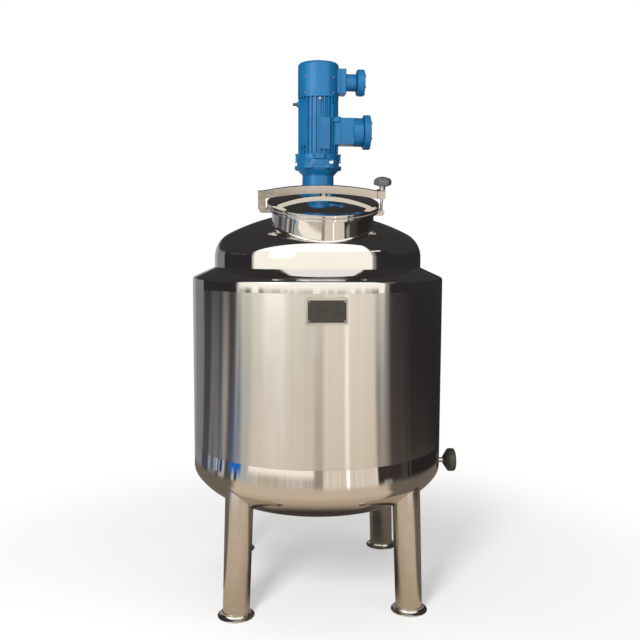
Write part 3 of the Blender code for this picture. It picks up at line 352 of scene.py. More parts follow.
def linked(name, data):
    obj = bpy.data.objects.new(name, data)
    bpy.context.scene.collection.objects.link(obj)
    return obj


def mesh_from(name, bm, material=None):
    mesh = bpy.data.meshes.new(name)
    bm.to_mesh(mesh)
    bm.free()
    if material:
        mesh.materials.append(material)
    return mesh


def piece(name, bm, material, body="tank", stands_for=(), sharp=30.0):
    """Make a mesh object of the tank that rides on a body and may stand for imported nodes."""
    bmesh.ops.recalc_face_normals(bm, faces=bm.faces)
    mesh = mesh_from(name, bm, material)
    mesh.shade_smooth()
    mesh.set_sharp_from_angle(angle=math.radians(sharp))
    obj = linked(name, mesh)
    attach(obj, body)
    if stands_for:
        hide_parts(*stands_for)
    return obj


def cut_away(obj, bm):
    """Take a closed shape away from a piece, for good."""
    bmesh.ops.recalc_face_normals(bm, faces=bm.faces)
    cutter = linked("cutter", mesh_from("cutter", bm))
    mod = obj.modifiers.new("cut", "BOOLEAN")
    mod.operation = "DIFFERENCE"
    mod.solver = "EXACT"
    mod.object = cutter
    graph = bpy.context.evaluated_depsgraph_get()
    cut = bpy.data.meshes.new_from_object(obj.evaluated_get(graph))
    cut.name = obj.data.name + "_cut"
    obj.modifiers.clear()
    obj.data = cut
    bpy.data.objects.remove(cutter)


# Dished surfaces, as arcs (centre r, centre z, radius, start, end) from the wall to the axis


def head_arcs():
    knuckle_r = VESSEL_R - HEAD_KNUCKLE_R
    depth = math.sqrt((HEAD_CROWN_R - HEAD_KNUCKLE_R) ** 2 - knuckle_r**2)
    turn = QUARTER - math.atan2(knuckle_r, depth)
    return [
        (knuckle_r, HEAD_TANGENT_Z, HEAD_KNUCKLE_R, 0.0, turn),
        (0.0, HEAD_TANGENT_Z - depth, HEAD_CROWN_R, turn, QUARTER),
    ]


def bottom_arcs():
    a = BOTTOM_CORNER_TURN
    b = BOTTOM_SHOULDER_TURN
    r1 = JACKET_R - BOTTOM_CORNER_R
    z1 = BOTTOM_TANGENT_Z
    r2 = r1 + (BOTTOM_CORNER_R - BOTTOM_SHOULDER_R) * math.cos(a)
    z2 = z1 - (BOTTOM_CORNER_R - BOTTOM_SHOULDER_R) * math.sin(a)
    crown = BOTTOM_SHOULDER_R + r2 / math.cos(b)
    z3 = z2 - (BOTTOM_SHOULDER_R - crown) * math.sin(b)
    return [
        (r1, z1, BOTTOM_CORNER_R, 0.0, -a),
        (r2, z2, BOTTOM_SHOULDER_R, -a, -b),
        (0.0, z3, crown, -b, -QUARTER),
    ]


HEAD_ARCS = head_arcs()
BOTTOM_ARCS = bottom_arcs()


def dished_outline(arcs, inset=0.0, pieces=12):
    points = []
    for centre_r, centre_z, radius, start, end in arcs:
        points += arc(centre_r, centre_z, radius - inset, start, end, pieces)[1 if points else 0 :]
    points[-1] = (0.0, points[-1][1])
    return points


def dished_gap(arcs, r, z):
    """Height of a point above a dished surface, and the surface's (r, z) normal below it."""
    for centre_r, centre_z, radius, start, end in arcs:
        angle = math.atan2(z - centre_z, r - centre_r)
        if min(start, end) - 1e-9 <= angle <= max(start, end) + 1e-9:
            gap = math.hypot(r - centre_r, z - centre_z) - radius
            return gap, (math.cos(angle), math.sin(angle))
    return r - arcs[0][0] - arcs[0][2], (1.0, 0.0)


def tank_gap(arcs, point):
    """The same for a point of the scene, with the normal as a vector."""
    offset = point - AXIS
    r = math.hypot(offset.x, offset.y)
    gap, (normal_r, normal_z) = dished_gap(arcs, r, offset.z)
    out = Vector((offset.x, offset.y, 0.0)) / max(r, 1e-9)
    return gap, out * normal_r + Vector((0.0, 0.0, normal_z))


def where_gap_is(arcs, point_at, wanted, low, high):
    """Parameter between low and high where a moving point is that far from a dished surface."""
    rising = tank_gap(arcs, point_at(high))[0] > tank_gap(arcs, point_at(low))[0]
    for _ in range(40):
        mid = (low + high) / 2.0
        if (tank_gap(arcs, point_at(mid))[0] > wanted) == rising:
            high = mid
        else:
            low = mid
    return (low + high) / 2.0


# Shader building


def wire(tree, value, socket):
    if isinstance(value, bpy.types.NodeSocket):
        tree.links.new(value, socket)
    else:
        socket.default_value = value


def maths(tree, operation, a, b=0.0, c=None):
    node = tree.nodes.new("ShaderNodeMath")
    node.operation = operation
    wire(tree, a, node.inputs[0])
    wire(tree, b, node.inputs[1])
    if c is not None:
        wire(tree, c, node.inputs[2])
    return node.outputs[0]


def times(tree, a, b):
    return maths(tree, "MULTIPLY", a, b)


def rise(tree, value, low, high, to_low=0.0, to_high=1.0):
    """Smooth step of a value between low and high."""
    node = tree.nodes.new("ShaderNodeMapRange")
    node.interpolation_type = "SMOOTHSTEP"
    wire(tree, value, node.inputs["Value"])
    node.inputs["From Min"].default_value = low
    node.inputs["From Max"].default_value = high
    node.inputs["To Min"].default_value = to_low
    node.inputs["To Max"].default_value = to_high
    return node.outputs["Result"]


def band(tree, value, low, high, soft):
    """One inside a range of a value, nought outside, with soft ends."""
    up = rise(tree, value, low - soft, low + soft)
    down = rise(tree, value, high - soft, high + soft, 1.0, 0.0)
    return times(tree, up, down)


def mixed(tree, factor, a, b, mode="MIX"):
    node = tree.nodes.new("ShaderNodeMix")
    node.data_type = "RGBA"
    node.blend_type = mode
    wire(tree, factor, node.inputs[0])
    wire(tree, a if isinstance(a, bpy.types.NodeSocket) else (*a, 1.0), node.inputs[6])
    wire(tree, b if isinstance(b, bpy.types.NodeSocket) else (*b, 1.0), node.inputs[7])
    return node.outputs[2]


def noise(tree, vector, scale, detail=3.0, roughness=0.5):
    node = tree.nodes.new("ShaderNodeTexNoise")
    wire(tree, vector, node.inputs["Vector"])
    node.inputs["Scale"].default_value = scale
    node.inputs["Detail"].default_value = detail
    node.inputs["Roughness"].default_value = roughness
    return node.outputs["Fac"]


def join_xyz(tree, x, y, z):
    node = tree.nodes.new("ShaderNodeCombineXYZ")
    wire(tree, x, node.inputs[0])
    wire(tree, y, node.inputs[1])
    wire(tree, z, node.inputs[2])
    return node.outputs[0]


def split_xyz(tree, vector):
    node = tree.nodes.new("ShaderNodeSeparateXYZ")
    wire(tree, vector, node.inputs[0])
    return node.outputs


def object_place(tree):
    return tree.nodes.new("ShaderNodeTexCoord").outputs["Object"]


def bump(tree, height, strength, distance):
    node = tree.nodes.new("ShaderNodeBump")
    node.inputs["Strength"].default_value = strength
    node.inputs["Distance"].default_value = distance
    wire(tree, height, node.inputs["Height"])
    return node.outputs["Normal"]


def new_material(name, metallic=0.0):
    mat = bpy.data.materials.new(name)
    mat.use_nodes = True
    shader = mat.node_tree.nodes["Principled BSDF"]
    shader.inputs["Metallic"].default_value = metallic
    return mat, mat.node_tree, shader


# Finishes


def mirror_steel(name="mirror_steel", waviness=0.012):
    """Stainless sheet polished to a mirror, with faint smears and a slight wave in the sheet."""
    mat, tree, shader = new_material(name, 1.0)
    place = object_place(tree)
    smears = noise(tree, place, 9.0, 5.0, 0.6)
    wire(tree, rise(tree, smears, 0.35, 0.75, 0.035, 0.09), shader.inputs["Roughness"])
    tint = mixed(tree, noise(tree, place, 3.0, 2.0), (0.75, 0.73, 0.71), (0.71, 0.69, 0.67))
    wire(tree, tint, shader.inputs["Base Color"])
    wire(tree, bump(tree, noise(tree, place, 5.0, 1.0), waviness, 0.02), shader.inputs["Normal"])
    return mat


def brushed_steel(name="brushed_steel", roughness=0.205, tint=(0.70, 0.675, 0.645)):
    """Stainless sheet brushed round the tank, so that what it reflects is drawn out up and down."""
    mat, tree, shader = new_material(name, 1.0)
    place = object_place(tree)
    x, y, z = split_xyz(tree, place)
    right = maths(tree, "SUBTRACT", x, AXIS.x)
    azimuth = maths(tree, "ARCTAN2", right, maths(tree, "SUBTRACT", AXIS.y, y))
    grain_place = join_xyz(tree, times(tree, azimuth, 3.0), 0.0, times(tree, z, 900.0))
    grain = noise(tree, grain_place, 1.0, 3.0)
    passes = noise(tree, join_xyz(tree, times(tree, azimuth, 1.5), 0.0, z), 7.0, 3.0)
    fine = rise(tree, grain, 0.3, 0.7, roughness - 0.008, roughness + 0.008)
    coarse = rise(tree, passes, 0.3, 0.7, -0.012, 0.012)
    wire(tree, maths(tree, "ADD", fine, coarse), shader.inputs["Roughness"])
    darker = tuple(c * 0.975 for c in tint)
    wire(tree, mixed(tree, rise(tree, grain, 0.25, 0.75), darker, tint), shader.inputs["Base Color"])
    shader.inputs["Anisotropic"].default_value = 1.0
    shader.inputs["Anisotropic Rotation"].default_value = 0.25
    tangent = tree.nodes.new("ShaderNodeTangent")
    tangent.direction_type = "RADIAL"
    tangent.axis = "Z"
    wire(tree, tangent.outputs["Tangent"], shader.inputs["Tangent"])
    return mat


def satin_steel(name="satin_steel", roughness=0.16, tint=(0.68, 0.655, 0.625)):
    """Bar and tube stock with a fine even polish."""
    mat, tree, shader = new_material(name, 1.0)
    place = object_place(tree)
    patches = noise(tree, place, 40.0, 4.0, 0.6)
    wire(tree, rise(tree, patches, 0.3, 0.7, roughness - 0.04, roughness + 0.06), shader.inputs["Roughness"])
    darker = tuple(c * 0.9 for c in tint)
    wire(tree, mixed(tree, patches, darker, tint), shader.inputs["Base Color"])
    wire(tree, bump(tree, noise(tree, place, 220.0, 2.0), 0.03, 0.0005), shader.inputs["Normal"])
    return mat


def blue_enamel(name="blue_enamel"):
    """Semi-gloss enamel over castings: a little uneven in tone, with orange peel."""
    mat, tree, shader = new_material(name)
    place = object_place(tree)
    tone = mixed(tree, noise(tree, place, 14.0, 4.0), (0.002, 0.080, 0.205), (0.004, 0.124, 0.285))
    wire(tree, tone, shader.inputs["Base Color"])
    wire(tree, rise(tree, noise(tree, place, 60.0, 3.0), 0.3, 0.7, 0.26, 0.38), shader.inputs["Roughness"])
    shader.inputs["Specular IOR Level"].default_value = 0.35
    shader.inputs["Coat Weight"].default_value = 0.35
    shader.inputs["Coat Roughness"].default_value = 0.18
    wire(tree, bump(tree, noise(tree, place, 500.0, 2.0), 0.12, 0.0004), shader.inputs["Normal"])
    return mat


def dull(name, light, dark, scale, roughness, grain=0.1):
    """Rubber, plastic or print: a patchy tone and a fine grain."""
    mat, tree, shader = new_material(name)
    place = object_place(tree)
    wire(tree, mixed(tree, noise(tree, place, scale, 4.0), dark, light), shader.inputs["Base Color"])
    shader.inputs["Roughness"].default_value = roughness
    wire(tree, bump(tree, noise(tree, place, scale * 20.0, 2.0), grain, 0.0004), shader.inputs["Normal"])
    return mat


MIRROR = mirror_steel()
BRUSHED = brushed_steel()
SATIN = satin_steel()
ENAMEL = blue_enamel()
RUBBER = dull("gasket_rubber", (0.72, 0.71, 0.67), (0.60, 0.59, 0.55), 30.0, 0.6)
KNOB = dull("knob_plastic", (0.10, 0.098, 0.09), (0.06, 0.058, 0.054), 60.0, 0.38)
PLATE = dull("plate_metal", (0.036, 0.029, 0.024), (0.008, 0.007, 0.006), 60.0, 0.5)
DARK_METAL = dull("dark_metal", (0.070, 0.062, 0.052), (0.035, 0.031, 0.027), 60.0, 0.34)
SCREW = satin_steel("screw_steel", 0.24, (0.46, 0.44, 0.41))
INK = dull("dial_print", (0.03, 0.03, 0.03), (0.02, 0.02, 0.02), 30.0, 0.5)
DIAL = dull("dial_white", (0.86, 0.86, 0.84), (0.82, 0.82, 0.80), 30.0, 0.4)
GLASS = dull("sight_glass", (0.80, 0.82, 0.80), (0.72, 0.75, 0.72), 80.0, 0.08, 0.0)


# Shells


def make_wall():
    inner = JACKET_R - JACKET_SHEET
    outline = oblong(inner, JACKET_R, SEAM_LOW_Z, SEAM_HIGH_Z)
    piece(
        "jacket_wall_skin", turned(outline, HUGE_STEPS, TANK), BRUSHED,
        stands_for=("cladding_wall",),
    )


def make_shoulder():
    turn = QUARTER - SHOULDER_SLOPE
    slope = math.tan(SHOULDER_SLOPE)
    bend_r = JACKET_R - SHOULDER_EDGE_R
    top_r = VESSEL_R + SKIN_GAP
    bend_end_r = bend_r + SHOULDER_EDGE_R * math.cos(turn)
    bend_z = SHOULDER_TOP_Z - (bend_end_r - top_r) * slope - SHOULDER_EDGE_R * math.sin(turn)
    outer = arc(bend_r, bend_z, SHOULDER_EDGE_R, 0.0, turn, 10)
    thin = arc(bend_r, bend_z, SHOULDER_EDGE_R - JACKET_SHEET, 0.0, turn, 10)
    outer.append((top_r, SHOULDER_TOP_Z))
    thin.append((top_r, thin[-1][1] + (thin[-1][0] - top_r) * slope))
    low = SEAM_HIGH_Z + SKIN_GAP
    outline = [(JACKET_R, low)] + outer + thin[::-1] + [(JACKET_R - JACKET_SHEET, low)]
    piece(
        "jacket_shoulder_skin", turned(outline, HUGE_STEPS, TANK), MIRROR,
        stands_for=("cladding_shoulder",),
    )


def make_bottom():
    high = SEAM_LOW_Z - SKIN_GAP
    outer = [(JACKET_R, high)] + dished_outline(BOTTOM_ARCS)
    inner = [(JACKET_R - JACKET_SHEET, high)] + dished_outline(BOTTOM_ARCS, JACKET_SHEET)
    bottom = piece(
        "jacket_bottom_skin", turned(outer + inner[::-1], HUGE_STEPS, TANK), MIRROR,
        stands_for=("cladding_bottom",),
    )
    outlet_low, outlet_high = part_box("bottom_outlet")
    cut_away(bottom, turned(oblong(0.0, OUTLET_HOLE_R, outlet_low.z, outlet_high.z), MID_STEPS, TANK))


def make_head():
    outer = [(VESSEL_R, HEAD_LOW_Z)] + dished_outline(HEAD_ARCS, 0.0, 20)
    inner = [(VESSEL_R - VESSEL_SHEET, HEAD_LOW_Z)] + dished_outline(HEAD_ARCS, VESSEL_SHEET, 20)
    head = piece(
        "vessel_head_skin", turned(outer + inner[::-1], HUGE_STEPS, TANK), MIRROR,
        stands_for=("vessel_top_head",),
    )
    cut_away(head, turned(oblong(0.0, NECK_R - NECK_SHEET, -NECK_DEPTH, NECK_CUT_TOP), BIG_STEPS, MANHOLE))
    cut_away(head, turned(oblong(0.0, SHAFT_PASSAGE_R, *SHAFT_PASSAGE_Z), MID_STEPS, DRIVE))


def on_neck(angle, radius, height):
    return MANHOLE @ spoke(radius, angle, height)


def neck_foot(angle, radius, gap=0.0):
    """Height on the neck, in its own frame, where it meets the vessel's head."""
    return where_gap_is(HEAD_ARCS, lambda h: on_neck(angle, radius, h), gap, -NECK_DEPTH, -NECK_TOP_DROP)


def rim_outline(low, top):
    edge_r = RIM_R - RIM_EDGE
    points = arc(edge_r, low + RIM_EDGE, RIM_EDGE, -QUARTER, 0.0, 4)
    return points + arc(edge_r, top - RIM_EDGE, RIM_EDGE, 0.0, QUARTER, 4)


def make_neck():
    rim_top = -GASKET_THICKNESS / 2.0 - SKIN_GAP
    rim_low = rim_top - RIM_THICKNESS
    bore = NECK_R - NECK_SHEET
    rim = rim_outline(rim_low, rim_top)

    def outline(angle):
        fillet = arc(NECK_R + RIM_FILLET, rim_low - RIM_FILLET, RIM_FILLET, math.pi, QUARTER, 4)
        points = [(NECK_R, neck_foot(angle, NECK_R))] + fillet + rim
        points += [(bore + BORE_BREAK, rim_top), (bore, rim_top - BORE_BREAK)]
        return points + [(bore, neck_foot(angle, bore))]

    piece(
        "manhole_neck_skin", revolve(outline, HUGE_STEPS, MANHOLE), MIRROR,
        stands_for=("manhole_neck",),
    )
    half = GASKET_THICKNESS / 2.0
    outline = arc(GASKET_OUTER_R - half, 0.0, half, -QUARTER, QUARTER, 6)
    outline += arc(GASKET_INNER_R + half, 0.0, half, QUARTER, 1.5 * math.pi, 6)
    piece(
        "gasket_ring", turned(outline, BIG_STEPS, MANHOLE), RUBBER,
        stands_for=("manhole_gasket",),
    )


def make_neck_fillet():
    """Ground and polished weld where the neck meets the head: a ball rolled round the corner."""
    to_neck = MANHOLE.inverted()

    def outline(angle):
        height = neck_foot(angle, NECK_R + NECK_FILLET, NECK_FILLET)
        ball = on_neck(angle, NECK_R + NECK_FILLET, height)
        normal = tank_gap(HEAD_ARCS, ball)[1]
        inward = (on_neck(angle, NECK_R, height) - ball).normalized()
        points = []
        for i in range(FILLET_STEPS + 1):
            ray = inward.slerp(-normal, i / FILLET_STEPS, inward)
            place = to_neck @ (ball + ray * NECK_FILLET)
            points.append((math.hypot(place.x, place.y), place.z))
        low = to_neck @ (ball - normal * (NECK_FILLET + FILLET_SINK))
        return points + [(math.hypot(low.x, low.y), low.z), (NECK_R - FILLET_SINK, low.z)]

    piece("neck_weld", revolve(outline, HUGE_STEPS, MANHOLE), MIRROR)


def make_lid():
    low = GASKET_THICKNESS / 2.0 + SKIN_GAP
    top = low + RIM_THICKNESS
    ball = (LID_DOME_R**2 + LID_DOME_HEIGHT**2) / (2.0 * LID_DOME_HEIGHT)
    half_angle = math.asin(LID_DOME_R / ball)
    centre_z = top + LID_DOME_HEIGHT - ball
    start = QUARTER - half_angle
    outer = arc(0.0, centre_z, ball, start, QUARTER, 24)
    inner = arc(0.0, centre_z, ball - LID_SHEET, start, QUARTER, 24)
    outer[-1] = (0.0, outer[-1][1])
    inner[-1] = (0.0, inner[-1][1])
    outline = rim_outline(low, top) + outer + inner[::-1] + [(LID_DOME_R - LID_SEAT_INSET, low)]
    piece(
        "manhole_lid_skin", turned(outline, BIG_STEPS, MANHOLE), MIRROR, "lid",
        ("manhole_lid",),
    )


# Legs and feet


def azimuth_frame(azimuth):
    """Matrix whose +X points at the azimuth from the tank's axis; azimuth 0 is the front."""
    return TANK @ Matrix.Rotation(azimuth - QUARTER, 4, "Z")


def make_leg(name, azimuth):
    frame_at = azimuth_frame(azimuth)
    foot_place = middle("foot_" + name)
    circle_r = (foot_place - AXIS).xy.length
    lean = math.tan(LEG_SPLAY)
    taper = (LEG_TOP_R - LEG_LOW_R) / (LEG_TOP_Z - LEG_LOW_Z)

    def on_leg(angle, inset, z):
        radius = LEG_LOW_R + taper * (z - LEG_LOW_Z) - inset
        return Vector((circle_r - lean * z + radius * math.cos(angle), radius * math.sin(angle), z))

    bm = bmesh.new()
    rings = []
    for i in range(MID_STEPS):
        a = math.tau * i / MID_STEPS
        ring = []
        for inset in (0.0, LEG_SHEET):
            top = where_gap_is(BOTTOM_ARCS, lambda z: frame_at @ on_leg(a, inset, z), 0.0, *LEG_TOP_BETWEEN)
            heights = [LEG_LOW_Z, top] if inset == 0.0 else [top, LEG_LOW_Z]
            ring += [bm.verts.new(frame_at @ on_leg(a, inset, z)) for z in heights]
        rings.append(ring)
    bridge(bm, rings + rings[:1])
    piece("leg_%s_tube" % name, bm, SATIN, stands_for=("leg_" + name,))

    half = FOOT_EDGE_Z / 2.0
    outline = [(0.0, 0.0)] + arc(FOOT_R - half, half, half, -QUARTER, QUARTER, 8)
    flare_r = FOOT_TOP_Z - FOOT_EDGE_Z
    flare = arc(FOOT_NECK_R + flare_r, FOOT_TOP_Z, flare_r, 1.5 * math.pi, math.pi, 8)
    outline += flare + [(0.0, FOOT_TOP_Z)]
    place = at(foot_place.x, foot_place.y, 0.0)
    piece(
        "foot_%s_dish" % name, turned(outline, MID_STEPS, place), SATIN,
        stands_for=("foot_" + name,),
    )


# Clamp over the lid


def flat_bar(bm, outline, low_y, high_y, place):
    """Closed plate with an outline in the X-Z plane of a place, between two heights on its Y."""
    stack(bm, [[place @ Vector((x, y, z)) for x, z in outline] for y in (low_y, high_y)])


def rounded(obj, width, segments=3):
    mod = obj.modifiers.new("edges", "BEVEL")
    mod.width = width
    mod.segments = segments
    mod.limit_method = "ANGLE"
    mod.angle_limit = ROUNDED_ABOVE
    mod.harden_normals = True
    return obj


def beam_top(x):
    return BEAM_END_TOP + BEAM_RISE * (1.0 - (x / HINGE.x) ** 2)


def make_beam():
    """Arched bar on edge, with the hinge leg at its left end and the fork at its right one."""
    left = HINGE.x + HINGE_LEG_OUTER
    right = SWING.x - FORK_REACH + BEAM_IN_FORK
    stations = [left + (right - left) * i / BEAM_STEPS for i in range(BEAM_STEPS + 1)]
    top = [(x, beam_top(x) if x > HINGE.x else BEAM_END_TOP) for x in stations]
    low = [(x, z - BEAM_HEIGHT) for x, z in top[::-1]]
    bm = bmesh.new()
    flat_bar(bm, top + low, -BEAM_HALF_DEPTH, BEAM_HALF_DEPTH, MANHOLE)
    rounded(piece("clamp_arch", bm, SATIN, "lid", ("clamp_beam",)), BEAM_EDGE)

    bm = bmesh.new()
    foot = arc(HINGE.x, HINGE.z, HINGE_LEG_R, math.pi, math.tau, 16)
    inner = HINGE.x + HINGE_LEG_INNER
    leg_top = BEAM_END_TOP - BEAM_HEIGHT + LEG_IN_BEAM
    leg = [(left, leg_top), (left, HINGE.z)] + foot + [(inner, HINGE.z), (inner, leg_top)]
    flat_bar(bm, leg, -HINGE_LEG_HALF, HINGE_LEG_HALF, MANHOLE)
    rounded(piece("clamp_hinge_leg", bm, SATIN, "lid"), HINGE_LEG_EDGE)

    bm = bmesh.new()
    back = SWING.x - FORK_REACH
    tip = SWING.x + FORK_TIP
    slot_end = SWING.x - FORK_SLOT_HALF
    block = oblong(back, tip, FORK_LOW_Z, FORK_TOP_Z)
    flat_bar(bm, block, -FORK_HALF, -FORK_SLOT_HALF, MANHOLE)
    flat_bar(bm, block, FORK_SLOT_HALF, FORK_HALF, MANHOLE)
    web = oblong(back, slot_end, FORK_LOW_Z, FORK_TOP_Z)
    flat_bar(bm, web, -FORK_SLOT_HALF, FORK_SLOT_HALF, MANHOLE)
    bmesh.ops.remove_doubles(bm, verts=bm.verts, dist=SAME_POINT)
    rounded(piece("clamp_fork", bm, SATIN, "lid"), FORK_EDGE)


def make_bracket(name, pin, ear_r, inner_y, outer_y, node):
    """Two ears on a web under the rim of the neck, one on each side of a pin."""
    side = math.copysign(1.0, pin.x)
    ends = (QUARTER, -QUARTER) if side > 0 else (QUARTER, 1.5 * math.pi)
    round_end = arc(pin.x, pin.z, ear_r, ends[0], ends[1], 16)
    neck_x = side * NECK_SIDE_R
    low_z = pin.z - ear_r
    under_rim = side * (RIM_R + EAR_PAST_RIM)
    outline = [(neck_x, EAR_TOP_Z), (under_rim, EAR_TOP_Z)] + round_end + [(neck_x, low_z)]
    bm = bmesh.new()
    flat_bar(bm, outline, inner_y, outer_y, MANHOLE)
    flat_bar(bm, outline, -outer_y, -inner_y, MANHOLE)
    web_x = neck_x + side * WEB_LENGTH
    flat_bar(bm, oblong(neck_x, web_x, EAR_TOP_Z, low_z), -inner_y, inner_y, MANHOLE)
    bmesh.ops.remove_doubles(bm, verts=bm.verts, dist=SAME_POINT)
    rounded(piece(name, bm, SATIN, "tank", (node,)), EAR_EDGE)


# Bolts, screws and small fittings


def add_screw(bm, place, size, steps=HEXAGON, profile=FLAT_HEAD):
    """Bolt head, nut or screw head standing on the X-Y plane of a place."""
    radius, height = size
    angles = [math.tau * i / steps for i in range(steps)]
    stack(bm, [[place @ spoke(radius * r, a, height * z) for a in angles] for r, z in profile])


def upright(radius, azimuth, z, down=False):
    """Place on a circle round the drive axis, facing up or down; azimuth 0 is +X."""
    return DRIVE @ Matrix.Translation(spoke(radius, azimuth, z)) @ Matrix.Rotation(math.pi * down, 4, "X")


def top_of(node):
    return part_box(node)[1].z


def make_drive_bolts():
    bm = bmesh.new()
    base_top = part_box("motor_stool")[0].z + STOOL_BASE_THICKNESS
    for i in range(8):
        add_screw(bm, upright(STOOL_BOLT_R, math.tau * (i + 0.5) / 8, base_top), STOOL_BOLT)
    lug_low = top_of("reducer_bell")
    for i in range(6):
        a = math.tau * i / 6
        add_screw(bm, upright(LUG_BOLT_R, a, lug_low + LUG_THICKNESS), LUG_BOLT)
        add_screw(bm, upright(LUG_BOLT_R, a, lug_low, True), LUG_NUT)
        add_screw(bm, upright(LUG_BOLT_R, a, lug_low - LUG_NUT[1], True), LUG_BOLT_END, TINY_STEPS)
    for i in range(4):
        add_screw(bm, upright(LUG_BOLT_R, math.tau * i / 4, top_of("motor_flange")), EAR_BOLT)
    rounded(piece("drive_bolts", bm, ENAMEL, "tank"), BOLT_EDGE, 2)

    bm = bmesh.new()
    shield_z = top_of("motor_frame") - SHIELD_BOLT_DROP
    add_screw(bm, DRIVE @ at(0.0, -SHIELD_BOLT_R, shield_z) @ Z_TO_FRONT, SHIELD_BOLT)
    for i in range(4):
        turn = DRIVE @ Matrix.Rotation(math.tau * (i + 0.5) / 4, 4, "Z")
        for z in COVER_SCREW_Z:
            add_screw(bm, turn @ at(COVER_SCREW_R, 0.0, z) @ Z_TO_X, COVER_SCREW, TINY_STEPS, ROUND_HEAD)
    piece("motor_screws", bm, SCREW, "tank")

    bm = bmesh.new()
    for node, circle_r in BOX_SCREW_CIRCLES.items():
        centre = middle(node)
        face_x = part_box(node)[1].x - BOX_SCREW_SINK
        for i in range(6):
            a = math.tau * (i + 0.5) / 6
            place = at(face_x, centre.y + circle_r * math.cos(a), centre.z + circle_r * math.sin(a))
            add_screw(bm, place @ Z_TO_X, BOX_SCREW)
    piece("box_cover_screws", bm, SCREW, "tank")


def make_cast_pads():
    """Smooth pads that stand over the motor's fins, and the lug on the neck of the terminal box."""
    frame_top = top_of("motor_frame")
    bm = bmesh.new()
    for azimuth, half_width, low_drop, high_drop, face_r in CAST_PADS:
        turn = DRIVE @ Matrix.Rotation(math.radians(azimuth) - QUARTER, 4, "Z")
        corners = oblong(PAD_ROOT_R, face_r, -half_width, half_width)
        ends = (frame_top - low_drop, frame_top - high_drop)
        stack(bm, [[turn @ Vector((x, y, z)) for x, y in corners] for z in ends])
    lug = at(DRIVE_AXIS.x + BOX_LUG_X, DRIVE_AXIS.y + BOX_LUG_Y, top_of("terminal_box") - BOX_LUG_DROP)
    end = (BOX_LUG_R, 2.0 * BOX_LUG_HALF_HEIGHT)
    for x in (-BOX_LUG_HALF, BOX_LUG_HALF):
        add_screw(bm, lug @ at(x, 0.0, -BOX_LUG_HALF_HEIGHT), end, TINY_STEPS)
    block = oblong(-BOX_LUG_HALF, BOX_LUG_HALF, -BOX_LUG_HALF_HEIGHT, BOX_LUG_HALF_HEIGHT)
    flat_bar(bm, block, -BOX_LUG_R, BOX_LUG_R, lug)
    rounded(piece("cast_pads", bm, ENAMEL, "tank"), PAD_EDGE, 2)


def make_knob_sleeve():
    """Bright bush between the knob and the fork."""
    sleeve = [(radius, FORK_TOP_Z + height) for radius, height in KNOB_SLEEVE]
    place = MANHOLE @ at(SWING.x, SWING.y, 0.0)
    piece("knob_sleeve", turned(sleeve, SMALL_STEPS, place), SATIN, "knob")


def make_nameplate():
    """Pale border and four rivets round the bare plate."""
    low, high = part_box("nameplate")
    face = azimuth_frame(PLATE_AZIMUTH) @ at(JACKET_R + PLATE_FACE, 0.0, middle("nameplate").z)
    half_w = (high.x - low.x) / 2.0
    half_h = (high.z - low.z) / 2.0
    inner_w = half_w - PLATE_BORDER
    inner_h = half_h - PLATE_BORDER
    bm = bmesh.new()
    for strip in (
        oblong(-half_w, half_w, inner_h, half_h),
        oblong(-half_w, half_w, -half_h, -inner_h),
        oblong(-half_w, -inner_w, -inner_h, inner_h),
        oblong(inner_w, half_w, -inner_h, inner_h),
    ):
        stack(bm, [[face @ Vector((x, y, z)) for y, z in strip] for x in (0.0, PLATE_BORDER_THICKNESS)])
    rivet_w = half_w - RIVET_INSET
    rivet_h = half_h - RIVET_INSET
    for y, z in oblong(-rivet_w, rivet_w, -rivet_h, rivet_h):
        add_screw(bm, face @ at(0.0, y, z) @ Z_TO_X, RIVET, TINY_STEPS, ROUND_HEAD)
    piece("nameplate_border", bm, SATIN, "tank")


